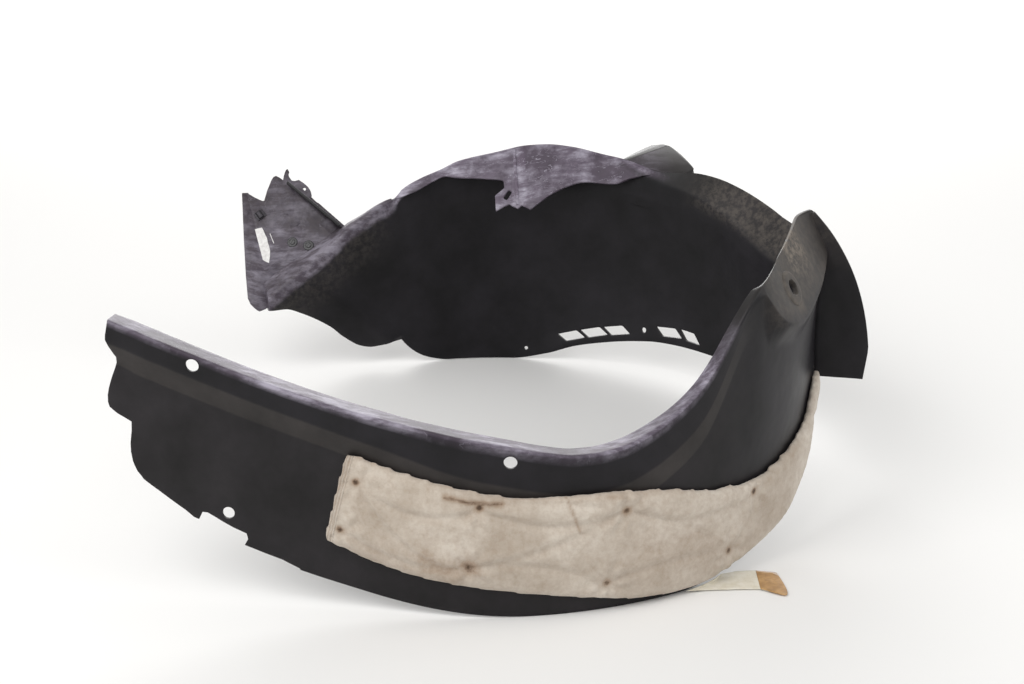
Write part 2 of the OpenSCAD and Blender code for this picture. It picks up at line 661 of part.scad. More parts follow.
function pad_heights(t, hi, lo) =
    let (s = section(t))
    [
        for (k = [0 : 7])
        k == 0 ? hi : k == 7 ? lo :
        min(max(s[k + 4][1], lo + 2 * (7 - k)), hi - 2 * k)
    ];
function pad_depth(z, hi, lo, e) = pad_t * (0.35 + 0.65 * min(1, sqrt(min(min(hi - z, z - lo) / 10, e))));
function pad_ring(u, t) =
    let (tm = t < 0 ? u * mix(pad_left[0], pad_left[1], 0.5) : t)
    let (hi = along(pad_top_line, t < 0 ? u * pad_left[0] : t))
    let (lo = along(pad_low_line, t < 0 ? u * pad_left[1] : t))
    let (e = t < 0 ? (1 - u) * 8 : (0.4 - t) * 60)
    let (rows = [
        for (z = pad_heights(tm, hi, lo))
        let (s = t < 0 ? u * mix(pad_left[0], pad_left[1], (hi - z) / (hi - lo)) : t)
        [s, wall_out(s, z) + pad_gap, z, pad_depth(z, hi, lo, e)]
    ])
    concat(
        [for (r = rows) place(r[0], r[1] + r[3], r[2])],
        flip([for (r = rows) place(r[0], r[1], r[2])])
    );

module felt_pad() {
    color("antiquewhite")
    difference() {
        skin(concat([for (u = pad_near) pad_ring(u, -1)], [for (t = pad_stations) pad_ring(0, t)]));
        stake_places() {
            translate([0, 0, -2]) cylinder(d = stake_d + 1.2, h = pad_t + 10, $fn = 20);
        }
        stake_places() {
            translate([0, 0, pad_gap + pad_t - dimple_h])
                cylinder(d1 = stake_head_d + 2, d2 = stake_head_d + 12, h = dimple_h + 3, $fn = 28);
        }
    }
}

module push_rivets() {
    color("black")
    rivet_places() {
        translate([0, 0, 0.3]) cylinder(d = rivet_head_d, h = 1.4, $fn = 40);
        translate([0, 0, 1.2])
        cylinder(d1 = 0.62 * rivet_head_d, d2 = 0.5 * rivet_head_d, h = 1.4, $fn = 32);
        translate([0, 0, -9]) cylinder(d = rivet_hole_d - 0.6, h = 9.8, $fn = 28);
        translate([0, 0, -13]) cylinder(d1 = 2.5, d2 = rivet_hole_d - 0.6, h = 4.2, $fn = 28);
    }
}

module edge_clip() {
    color("black")
    pocket_frame() {
        translate([36, 78, 0.3]) cube([14, 12, 1.6]);
        translate([39, 79, 1]) cube([8, 10, 3.4]);
        translate([38.8, 81.8, -8]) cube([1.6, 5, 9]);
        translate([45.2, 81.8, -8]) cube([1.6, 5, 9]);
    }
}

module edge_seal() {
    color("black")
    pocket_frame()
        translate([99, 95, 0])
        rotate([0, 0, -77.6])
        translate([0.5, -1 - seal_t / 2, pocket_flange_h - 3.6])
        difference() {
            cube([95, seal_t, 5.6]);
            translate([-1, seal_t / 2 - 1.2, -1]) cube([97, 2.4, 4.9]);
        }
}

// Paper strip whose end sticks out from under the pad, held by clear tape
strip_rows = [
    [polar(-59.19, 2.9, 3.6), polar(-56.31, 3, 4), polar(-53.34, 3.2, 6.6)],
    [polar(-56.35, 8.8, 1.8), polar(-53.16, 1.6, 2), polar(-50.66, -6.1, 2.4)],
    [polar(-52.93, 22.8, 1.6), polar(-50.52, 10.2, 1.8), polar(-48.16, -0.2, 2.4)],
    [polar(-49.62, 40.2, 1.6), polar(-47.76, 25.1, 1.8), polar(-45.85, 11.3, 2.2)],
    [polar(-48.98, 56.1, 1.6), polar(-46.77, 39.7, 1.6), polar(-44.29, 26.1, 1.8)],
    [polar(-48.63, 63.7, 1.6), polar(-47.34, 61.8, 1.6), polar(-43.99, 29.7, 1.6)]
];

module strip_tail() {
    color("white")
    skin([
        for (r = strip_rows)
        concat([for (p = r) p - [0, 0, 1.2]], flip(r))
    ]);
}

liner_shell();
felt_pad();
push_rivets();
edge_clip();
edge_seal();
strip_tail();
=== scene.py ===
import math
import bpy
import bmesh
import numpy as np
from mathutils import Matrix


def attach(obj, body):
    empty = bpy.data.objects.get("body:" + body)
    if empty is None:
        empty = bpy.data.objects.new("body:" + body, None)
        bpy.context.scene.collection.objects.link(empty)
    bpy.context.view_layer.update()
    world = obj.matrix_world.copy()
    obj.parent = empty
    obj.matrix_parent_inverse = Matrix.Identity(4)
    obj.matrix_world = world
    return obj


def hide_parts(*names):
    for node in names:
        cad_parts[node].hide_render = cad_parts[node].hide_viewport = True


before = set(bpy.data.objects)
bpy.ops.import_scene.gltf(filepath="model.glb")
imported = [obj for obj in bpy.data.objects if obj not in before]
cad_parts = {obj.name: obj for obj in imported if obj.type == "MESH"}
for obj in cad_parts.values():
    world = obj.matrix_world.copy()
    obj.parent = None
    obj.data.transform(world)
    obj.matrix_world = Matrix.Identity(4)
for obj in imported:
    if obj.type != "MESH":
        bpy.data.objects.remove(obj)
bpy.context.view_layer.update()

from types import SimpleNamespace
from mathutils import Matrix, Vector, noise

print("Frame loaded")

mm = 0.001  # sizes below are in millimetres, Blender's are in metres

# The arch lies on its side, wheel axis up. The near limb carries the felt, the far limb the end pocket.
arch = dict(radius=372, nearLength=315, nearIn=8, farLength=185, farIn=20, sheet=3, flap=5.6,
            nearEnd=288, lipLow=167, boss=329, rim=276, fold=300, tip=110, ventEdge=48, finEdge=132,
            lip=24, band=20, step=25, stepIn=9, hem=34, flange=104, flangeSlope=52,
            bossWidth=60, skirt=24, bead=25, finReach=46, finTurn=-12, pocketBack=118.2,
            padThick=12, padGap=0.5)
s = SimpleNamespace(**arch)
nearTurn = -90 - s.nearIn
farTurn = 90 + s.farIn
arcLength = s.radius * math.radians(farTurn - nearTurn)


def sinD(a):
    return math.sin(math.radians(a))


def cosD(a):
    return math.cos(math.radians(a))


leftReach = (s.radius - s.stepIn) * sinD(s.nearIn) + (s.nearLength + s.flap) * cosD(s.nearIn)
rightReach = (s.radius + s.finReach) * cosD(s.finTurn)
frontReach = s.radius + s.padGap + s.padThick
backReach = s.radius * cosD(s.farIn) - s.farLength * sinD(s.farIn) + s.pocketBack
centreX = (leftReach - rightReach) / 2
centreY = (frontReach - backReach) / 2
level, drop = s.flange * cosD(s.flangeSlope), s.flange * sinD(s.flangeSlope)


def above(base, *points):
    # points of a guide line, as differences from a size
    return [(t, base + more) for t, more in points]


def times(base, *points):
    # points of a guide line, as shares of a size
    return [(t, base * share) for t, share in points]


# each guide line is a height or reach at stations along the sheet: -1 to 0 on the near limb, 0 to 1 on the
# crown, 1 to 2 on the far limb
guides = dict(
    top=above(s.nearEnd, (-1, 1.3), (-0.865, -15), (-0.744, -29.4), (-0.563, -50), (-0.412, -65.3),
        (-0.261, -78.8)) + above(s.lipLow, (-0.11, 31.5), (-0.034, 26.5), (0.01, 21.7), (0.044, 13.7),
        (0.079, 4), (0.1, 0), (0.112, 0), (0.134, 4), (0.157, 15.4), (0.177, 30.2), (0.195, 47.6),
        (0.212, 71.6), (0.227, 97.6)) + above(s.boss, (0.245, -38), (0.257, -27.6), (0.3125, -18),
        (0.36, -7), (0.385, -3), (0.396, -2), (0.4135, -2.5)) + above(s.rim, (0.44, 7), (0.5, -24),
        (0.56, -36), (0.6, -31), (0.62, -24), (0.66, -9.5), (0.68, -4), (0.7, -1), (0.74, 2))
        + above(s.fold, (0.78, -9), (0.8, -5), (0.83, 2), (0.85, 4), (0.875, 1.5), (0.905, -8),
        (0.944, -20.5), (0.959, -30), (0.982, -42), (1, -55)) + above(s.tip, (1.06, 122), (1.2, 108),
        (1.31, 96), (1.39, 87), (1.54, 62), (1.76, 33), (2, 0)),
    topOut=[(-1, 0), (0.235, 0), (0.245, -1), (0.2572, -4), (0.3125, -26.3), (0.36, -34), (0.385, -36),
        (0.396, -33.8), (0.4135, -25), (0.44, -5), (0.5, 8), (0.6, 26), (0.68, 22), (0.74, 8), (0.8, 0),
        (1, 0), (2, 0)],
    flangeOut=times(s.lip, (-1, -0.93), (-0.93, -1.04), (-0.6, -1), (-0.2, -0.96), (-0.1, -0.87),
        (0.01, -0.92), (0.1, -0.84), (0.134, -0.86), (0.157, -0.78), (0.18, -0.62), (0.2, -0.55),
        (0.235, -0.48), (0.2515, -0.36)) + [(0.2572, -3), (0.2663, -2), (0.32, -1), (0.6, 2), (0.7, 2),
        (0.73, -2), (0.745, -5), (0.765, -15)] + times(s.flange, (0.78, -0.23), (0.81, -0.29),
        (0.826, -0.37), (0.845, -0.47), (0.859, -0.56)) + [(0.87, -level), (0.8935, -level)]
        + times(s.flange, (0.8975, -0.315), (0.912, -0.265), (0.93, -0.21), (0.945, -0.16))
        + [(0.961, -9), (0.985, -10), (1.014, -7), (1.04, -3), (1.08, 1)] + times(s.bead, (1.16, 0.22),
        (1.3, 0.85), (1.39, 1), (2, 1)),
    flangeRise=[(-1, -1), (0.235, -1), (0.2515, -1), (0.2663, -1), (0.32, 1), (0.6, 2), (0.7, 2),
        (0.73, -2), (0.745, -6), (0.765, -19)] + times(s.flange, (0.78, -0.31), (0.81, -0.38),
        (0.826, -0.47), (0.845, -0.61), (0.859, -0.72)) + [(0.87, -drop), (0.8935, -drop)]
        + times(s.flange, (0.8975, -0.4), (0.912, -0.337), (0.93, -0.27), (0.945, -0.205))
        + [(0.961, -11), (0.985, -13), (1.014, -8), (1.04, -2), (1.08, 1), (1.16, -1), (1.3, -7),
        (1.39, -7), (1.46, -2), (1.59, 3), (1.71, 5), (1.85, 10), (2, 12)],
    foldRound=[(-1, 4), (0.2, 4), (0.5, 3), (0.74, 4), (0.8, 10), (0.85, 16), (0.9, 16), (0.95, 8),
        (1.05, 4), (1.2, 9), (2, 9)],
    band=above(s.band, (-1, 2.6), (-0.44, 4.3), (-0.23, 7.4), (0.04, 20), (0.2, 18), (0.225, 3))
        + [(0.2425, 8)] + times(s.bossWidth, (0.2572, 0.14), (0.2612, 0.3), (0.2663, 0.53),
        (0.2788, 0.8), (0.3115, 0.99), (0.35, 1), (0.3875, 0.94), (0.4135, 0.7))
        + above(s.band, (0.44, 10), (0.5, 14), (0.6, 20), (0.68, 4), (0.74, -4), (0.84, 26), (0.92, 16),
        (1, 0), (1.5, -4)) + [(2, 3)],
    bandOut=[(-1, -1), (0.235, -1), (0.2572, 1), (0.2612, 5), (0.2663, 10.5), (0.2788, 14),
        (0.3115, 8.3), (0.35, 0.9), (0.3875, -2.8), (0.4135, -4), (0.44, -2), (0.5, 0), (0.68, 0),
        (0.85, 4), (1, 1), (2, 0)],
    step=above(s.step, (-1, -2), (-0.91, 1), (-0.2, 0), (0.1, 1), (0.225, 2))
        + above(s.skirt, (0.2425, 6), (0.2612, 9), (0.2788, 0), (0.3115, -4), (0.3356, -14),
        (0.3505, -17), (0.3875, -17), (0.4135, -12)) + above(s.step, (0.5, 0), (0.7, -4), (1, -4))
        + [(1.6, 14), (2, 2)],
    stepOut=times(s.stepIn, (-1, -1), (-0.35, -1)) + [(-0.05, -4), (0.1, -2), (0.235, -2), (0.2612, 0),
        (0.34, -1), (0.3875, -8), (0.45, -9), (0.6, -3), (0.8, 0), (0.9, 4), (1, 2), (2, 0)],
    bulge=[(-1, 4), (-0.4, 4), (0.1, 2), (0.25, 1), (0.36, -3), (0.42, -3), (0.6, 0), (0.85, 8), (1, 6),
        (1.6, 1), (2, 0)],
    hem=above(s.hem, (-1, 0), (0, 0), (0.15, -14), (0.3, -16), (0.5, -12), (0.66, -2), (0.8, -2),
        (0.9, -14), (0.99, -20)) + [(1.07, 4), (1.11, 4), (1.166, 17)] + above(s.hem, (1.3, 3),
        (1.42, 7), (1.64, 6), (1.74, 2)) + [(1.88, 14), (2, 3)],
    hemOut=times(s.stepIn, (-1, -1), (-0.35, -1)) + [(0, -3), (0.3, -3), (0.4, -11), (0.45, -10),
        (0.55, -2), (0.66, 2), (0.9, 2), (1, 2), (2, 0)],
    edgeOut=[(-1, -4), (-0.35, -4), (0, -1), (0.15, -3), (0.22, -3), (0.3, -4), (0.34, -7), (0.4, -15),
        (0.45, -14), (0.55, -5), (0.68, -6), (0.8, -6), (0.9, -2), (0.99, -2), (1.08, 0), (1.2, 8),
        (1.8, 8), (2, 0)],
    edge=[(-1, 80), (-0.7, 72), (-0.6, 54), (-0.49, 44), (-0.435, 38), (-0.278, 24), (-0.12, 12.5),
        (0, 6.5), (0.044, 1), (0.073, 0.1), (0.187, 0.1), (0.2, 1.5), (0.225, 7), (0.25, 14),
        (0.265, 19), (0.28, 25), (0.3, 33)] + times(s.finEdge, (0.316, 0.34), (0.334, 0.45),
        (0.347, 0.6), (0.36, 0.78)) + above(s.finEdge, (0.4, -6), (0.44, -4)) + [(0.5, 0.8 * s.finEdge)]
        + above(s.ventEdge, (0.58, 20), (0.64, 3), (0.7, 2), (0.73, 0), (0.757, -5), (0.795, -15),
        (0.825, -25)) + [(0.854, 9), (0.89, 0.1), (0.955, 0.1), (0.975, 5), (1, 28), (1.01, 35),
        (1.06, 33), (1.24, 27), (1.32, 30), (1.467, 48), (1.546, 62), (1.76, 86), (1.88, 95),
        (2, s.tip - 14)],
    padTop=[(-0.282, 168), (-0.06, 148), (0.014, 140), (0.053, 131), (0.113, 130), (0.162, 123),
        (0.22, 106), (0.25, 103), (0.29, 109), (0.32, 119), (0.345, 128), (0.37, 148), (0.4, 160)],
    padLow=[(-0.361, 72), (-0.19, 50), (-0.03, 38), (0.085, 20), (0.113, 13.5), (0.149, 5.5),
        (0.175, 3), (0.2, 3.2), (0.215, 6.2), (0.23, 10.5), (0.246, 15.5), (0.264, 21.5), (0.281, 28.5),
        (0.3, 37)] + times(s.finEdge, (0.316, 0.385), (0.334, 0.5), (0.347, 0.65), (0.36, 0.83),
        (0.375, 0.93), (0.4, 1)),
)


def runLength(t):
    if t < 0:
        return t * s.nearLength
    return arcLength + (t - 1) * s.farLength if t > 1 else t * arcLength


def along(name, t):
    # smooth curve through a guide line's points, by length along the arch
    line = guides[name]
    i = 0
    while i < len(line) - 2 and t >= line[i + 1][0]:
        i += 1

    def slope(k):
        return (line[k + 1][1] - line[k][1]) / (runLength(line[k + 1][0]) - runLength(line[k][0]))

    def knot(k):
        if k == 0:
            return slope(0)
        if k == len(line) - 1:
            return slope(k - 1)
        before, after = slope(k - 1), slope(k)
        return 0 if before * after <= 0 else 2 * before * after / (before + after)

    span = runLength(line[i + 1][0]) - runLength(line[i][0])
    u = min(max((runLength(t) - runLength(line[i][0])) / span, 0), 1)
    return ((2 * u**3 - 3 * u**2 + 1) * line[i][1] + (u**3 - 2 * u**2 + u) * knot(i) * span
            + (3 * u**2 - 2 * u**3) * line[i + 1][1] + (u**3 - u**2) * knot(i + 1) * span)


def turnAt(t):
    return nearTurn + (farTurn - nearTurn) * min(max(t, 0), 1)


def stationOf(turn):
    return (turn - nearTurn) / (farTurn - nearTurn)


def polar(turn, out, z):
    return Vector((centreX + (s.radius + out) * cosD(turn), centreY + (s.radius + out) * sinD(turn), z))


def place(t, out, z):
    a = turnAt(t)
    run = t * s.nearLength if t < 0 else (t - 1) * s.farLength if t > 1 else 0
    return polar(a, out, z) + Vector((-run * sinD(a), run * cosD(a), 0))


def bend(p, c, q, u):
    return p.lerp(c, u).lerp(c.lerp(q, u), u)


# corner radii of the moulded steps, the share of a flat that a corner or the top fold may take, and how far
# a wide top fold is raised so that its rounded crest stays at the drawn height
folds = dict(crease=3, foot=5, hem=6, cornerShare=0.42, topShare=0.6, sharp=4, rise=0.4)


def topHeight(t):
    return along("top", t) + folds["rise"] * max(along("foldRound", t) - folds["sharp"], 0)


def straight(p, q, count):
    return [p.lerp(q, i / count) for i in range(count)]


def corner(p, c, q, radius, count=4):
    # rounded corner at c between the lines to p and q
    share = folds["cornerShare"]
    a, b = (c + (end - c).normalized() * min(radius, share * (end - c).length) for end in (p, q))
    return [bend(a, c, b, i / count) for i in range(count + 1)]


# how many rows of points the parts of a section take, and the rows where its fold ends and its step starts
sectionRows = dict(lip=6, fold=7, flat=4, wall=16)
foldEnd, stepStart = sectionRows["lip"] + sectionRows["fold"], 20


def section(t):
    # outline of the sheet's outer face at a station, from its free top edge down to its lower edge
    top = Vector((along("topOut", t), topHeight(t)))
    free = top + Vector((along("flangeOut", t), along("flangeRise", t)))
    crease = Vector((along("bandOut", t), top.y - along("band", t)))
    foot = Vector((along("stepOut", t), crease.y - along("step", t)))
    edge = Vector((along("edgeOut", t), along("edge", t)))
    hem = Vector((along("hemOut", t), edge.y + along("hem", t)))
    roundness = along("foldRound", t)
    share = folds["topShare"]
    f1, f2 = (top.lerp(end, min(roundness / (end - top).length, share)) for end in (free, crease))
    bulge = along("bulge", t)

    def wall(u):
        return foot.lerp(hem, u) + Vector((bulge * 4 * u * (1 - u), 0))

    count = sectionRows
    rows = straight(free, f1, count["lip"])
    rows += [bend(f1, top, f2, i / count["fold"]) for i in range(count["fold"] + 1)]
    creaseRows = corner(f2, crease, foot, folds["crease"])
    footRows = corner(crease, foot, wall(0.3), folds["foot"])
    hemRows = corner(wall(0.7), hem, edge, folds["hem"])
    rows += straight(f2, creaseRows[0], count["flat"])[1:] + creaseRows
    rows += straight(creaseRows[-1], footRows[0], count["flat"])[1:] + footRows
    low = min((footRows[-1] - foot).length / max((hem - foot).length, 1), 0.25)
    high = 1 - min((hemRows[0] - hem).length / max((hem - foot).length, 1), 0.25)
    rows += [wall(low + (high - low) * i / count["wall"]) for i in range(1, count["wall"])]
    return rows + hemRows + straight(hemRows[-1], edge, count["flat"])[1:] + [edge]


def sidesteps(rows, depth):
    # the section moved square to itself by depth, keeping the sheet's thickness at its folds
    moved = []
    for i, p in enumerate(rows):
        before = p - rows[i - 1] if i else rows[1] - rows[0]
        after = rows[i + 1] - p if i < len(rows) - 1 else p - rows[-2]
        a, b = (Vector((-d.y, d.x)).normalized() for d in (before, after))
        middle = (a + b).normalized()
        moved.append(p + middle * depth / max(middle.dot(a), 0.6))
    return moved


def wallOut(t, z):
    # how far out the outer face lies at a height on the wall
    rows = section(t)[foldEnd:]
    for p, q in zip(rows, rows[1:]):
        if q.y <= z:
            return p.lerp(q, max((p.y - z) / (p.y - q.y), 0)).x
    return rows[-1].x


def shift(x, y, z):
    return Matrix.Translation((x, y, z))


def turn(x=0, y=0, z=0):
    return (Matrix.Rotation(math.radians(z), 4, "Z") @ Matrix.Rotation(math.radians(y), 4, "Y")
            @ Matrix.Rotation(math.radians(x), 4, "X"))


def archFrame(angle):
    return shift(centreX, centreY, 0) @ turn(z=angle)


# frames that the moulding's details are drawn in
nearFrame = shift(*polar(nearTurn, 0, 0)) @ turn(z=180 - s.nearIn)
farFrame = shift(*place(2, 0, 0)) @ turn(z=s.farIn)
flangeFrame = archFrame(turnAt(0.89)) @ shift(s.radius, 0, topHeight(0.89)) @ turn(y=180 - s.flangeSlope)
bossFrame = shift(*polar(-34.1, -8.3, s.boss - 46.8)) @ turn(y=60, z=-26)
pocketRoot = farFrame @ shift(8.4, s.bead, s.tip + 17)
pocketFrame = pocketRoot @ turn(y=-32.1) @ turn(x=50.4)
pocketEndFrame = pocketRoot @ turn(y=-53.2, z=97) @ turn(x=-11.1)
ridgeFrame = pocketFrame @ shift(99, 95, 0) @ turn(z=-77.6)


def roundCorners(points, radius, count=4):
    made = []
    for i in range(len(points)):
        a, b, c = (Vector(points[k % len(points)]) for k in (i - 1, i, i + 1))
        made += [tuple(v) for v in corner(a, b, c, radius, count)]
    return made


def rectangle(x1, y1, x2, y2):
    return [(x1, y1), (x2, y1), (x2, y2), (x1, y2)]


def addPrism(mesh, points, low, high, matrix):
    # solid with a drawn outline, pushed from low to high
    lower = [mesh.verts.new(matrix @ Vector((x, y, low))) for x, y in points]
    upper = [mesh.verts.new(matrix @ Vector((x, y, high))) for x, y in points]
    mesh.faces.new(lower[::-1])
    mesh.faces.new(upper)
    for i in range(len(points)):
        k = (i + 1) % len(points)
        mesh.faces.new((lower[i], lower[k], upper[k], upper[i]))


def addLathe(mesh, profile, matrix, steps=32, closed=True):
    # turned solid from (radius, height) points, closed at both ends, or a ring whose last point meets its
    # first
    rings = [[mesh.verts.new(matrix @ Vector((r * cosD(a), r * sinD(a), z)))
              for a in (360 * i / steps for i in range(steps))] for r, z in profile]
    for low, high in zip(rings, rings[1:] + ([] if closed else rings[:1])):
        for i in range(steps):
            k = (i + 1) % steps
            mesh.faces.new((low[i], low[k], high[k], high[i]))
    if closed:
        mesh.faces.new(rings[0][::-1])
        mesh.faces.new(rings[-1])


def addSheet(mesh, front, back):
    # closed sheet between two grids of points
    a = [[mesh.verts.new(p) for p in row] for row in front]
    b = [[mesh.verts.new(p) for p in row] for row in back]
    rows, columns = len(a), len(a[0])
    for i in range(rows - 1):
        for j in range(columns - 1):
            mesh.faces.new((a[i][j], a[i + 1][j], a[i + 1][j + 1], a[i][j + 1]))
            mesh.faces.new((b[i][j], b[i][j + 1], b[i + 1][j + 1], b[i + 1][j]))
        mesh.faces.new((a[i][0], b[i][0], b[i + 1][0], a[i + 1][0]))
        mesh.faces.new((a[i][-1], a[i + 1][-1], b[i + 1][-1], b[i][-1]))
    for j in range(columns - 1):
        mesh.faces.new((a[0][j], a[0][j + 1], b[0][j + 1], b[0][j]))
        mesh.faces.new((a[-1][j], b[-1][j], b[-1][j + 1], a[-1][j + 1]))


def makeObject(name, mesh, scale=mm):
    bmesh.ops.recalc_face_normals(mesh, faces=mesh.faces)
    bmesh.ops.scale(mesh, vec=(scale,) * 3, verts=mesh.verts)
    data = bpy.data.meshes.new(name)
    mesh.to_mesh(data)
    mesh.free()
    made = bpy.data.objects.new(name, data)
    bpy.context.scene.collection.objects.link(made)
    return made


def built(name, *builders):
    # object from functions that each add to one mesh
    mesh = bmesh.new()
    for builder in builders:
        builder(mesh)
    return makeObject(name, mesh)


def bake(piece):
    # applies the piece's modifiers
    graph = bpy.context.evaluated_depsgraph_get()
    data = bpy.data.meshes.new_from_object(piece.evaluated_get(graph))
    piece.modifiers.clear()
    old = piece.data
    piece.data = data
    bpy.data.meshes.remove(old)


def smooth(piece, angle=32):
    piece.data.shade_smooth()
    piece.data.set_sharp_from_angle(angle=math.radians(angle))


def soften(piece, width, segments=2, angle=40):
    # small rounded edges
    mod = piece.modifiers.new("edge", "BEVEL")
    mod.width = width * mm
    mod.segments = segments
    mod.limit_method = "ANGLE"
    mod.angle_limit = math.radians(angle)
    mod.use_clamp_overlap = True
    bake(piece)


def cut(piece, cutter, solver="EXACT"):
    mod = piece.modifiers.new("cut", "BOOLEAN")
    mod.operation = "DIFFERENCE"
    mod.solver = solver
    mod.object = cutter
    bake(piece)
    bpy.data.objects.remove(cutter)


def join(pieces, name):
    bpy.ops.object.select_all(action="DESELECT")
    for p in pieces:
        p.select_set(True)
    bpy.context.view_layer.objects.active = pieces[0]
    bpy.ops.object.join()
    pieces[0].name = pieces[0].data.name = name
    return pieces[0]


def finishPiece(piece, material, slot, *stands):
    piece.data.materials.clear()
    piece.data.materials.append(material)
    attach(piece, "root")
    if stands:
        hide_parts(*stands)


def setAttribute(piece, name, values):
    made = piece.data.attributes.new(name, "FLOAT", "POINT")
    made.data.foreach_set("value", np.asarray(values, dtype=np.float32))


def pointsOf(piece):
    # vertex places in millimetres
    flat = np.empty(len(piece.data.vertices) * 3)
    piece.data.vertices.foreach_get("co", flat)
    return flat.reshape(-1, 3) / mm


openSide = 175  # turn, in degrees, at which the arch is open
limbShare = 0.35  # the least reach, as a share of the radius, of a point that belongs to a limb


def stationsOf(points):
    # station of each point in plan, and how far out from the arch's radius it lies
    dx, dy = points[:, 0] - centreX, points[:, 1] - centreY
    turns = np.degrees(np.arctan2(dy, dx))
    turns = np.where(turns > openSide, turns - 360, turns)
    t = (turns - nearTurn) / (farTurn - nearTurn)
    out = np.hypot(dx, dy) - s.radius
    for angle, length, sign, first in ((nearTurn, s.nearLength, -1, 0), (farTurn, s.farLength, 1, 1)):
        run = (-dx * sinD(angle) + dy * cosD(angle)) * sign
        away = dx * cosD(angle) + dy * sinD(angle)
        beyond = (run > 0) & (away > limbShare * s.radius)
        t = np.where(beyond, first + sign * run / length, t)
        out = np.where(beyond, away - s.radius, out)
    return t, out


def fade(values, low, high):
    # 0 below low, 1 above high, smooth between
    u = np.clip((values - low) / (high - low), 0, 1)
    return u * u * (3 - 2 * u)


def window(values, a, b, c, d):
    return fade(values, a, b) * (1 - fade(values, c, d))


def colour(code):
    # sRGB hex to linear
    parts = [int(code[i:i + 2], 16) / 255 for i in (1, 3, 5)]
    return [c / 12.92 if c <= 0.04045 else ((c + 0.055) / 1.055) ** 2.4 for c in parts] + [1]


def newMaterial(name):
    made = bpy.data.materials.new(name)
    made.use_nodes = True
    made.node_tree.nodes.clear()
    return made


def add(material, kind, settings=None, links=None):
    # one node. Settings are its options, its inputs by name or number, or a ramp's stops. Links join its
    # inputs to sockets, or to the main output of other nodes.
    node = material.node_tree.nodes.new("ShaderNode" + kind)
    for key, value in (settings or {}).items():
        if key == "stops":
            band = node.color_ramp
            for i, (at, shade) in enumerate(value):
                ends = i in (0, len(value) - 1)
                stop = band.elements[-1 if i else 0] if ends else band.elements.new(at)
                stop.position, stop.color = at, (shade, shade, shade, 1)
        elif isinstance(key, int) or key in node.inputs:
            node.inputs[key].default_value = value
        else:
            setattr(node, key, value)
    for key, source in (links or {}).items():
        if isinstance(source, bpy.types.Node):
            source = next(o for o in source.outputs if o.enabled)
        material.node_tree.links.new(source, node.inputs[key])
    return node


def perMm(size):
    # texture scale for a pattern of that size in millimetres, on coordinates in metres
    return 1000 / size


# the dust tone also paints the reflection on what faces up and the highlights at the boss and the step; the
# chafed and haze tones also paint the reflection on the lip and the top folds
mouldedLook = dict(black="#131214", faded="#232125", dust="#7c746b", chafedAndSheen="#5f5462", hazeAndSheen="#b3aebb",
                   smoothest=0.28, roughest=0.5, dustDulls=0.35, specular=0.2, ior=1.49, grain=0.9,
                   speck=8, patch=85, wave=42, scrape=30, streak=34, grainDepth=0.3, waveDepth=3.5)


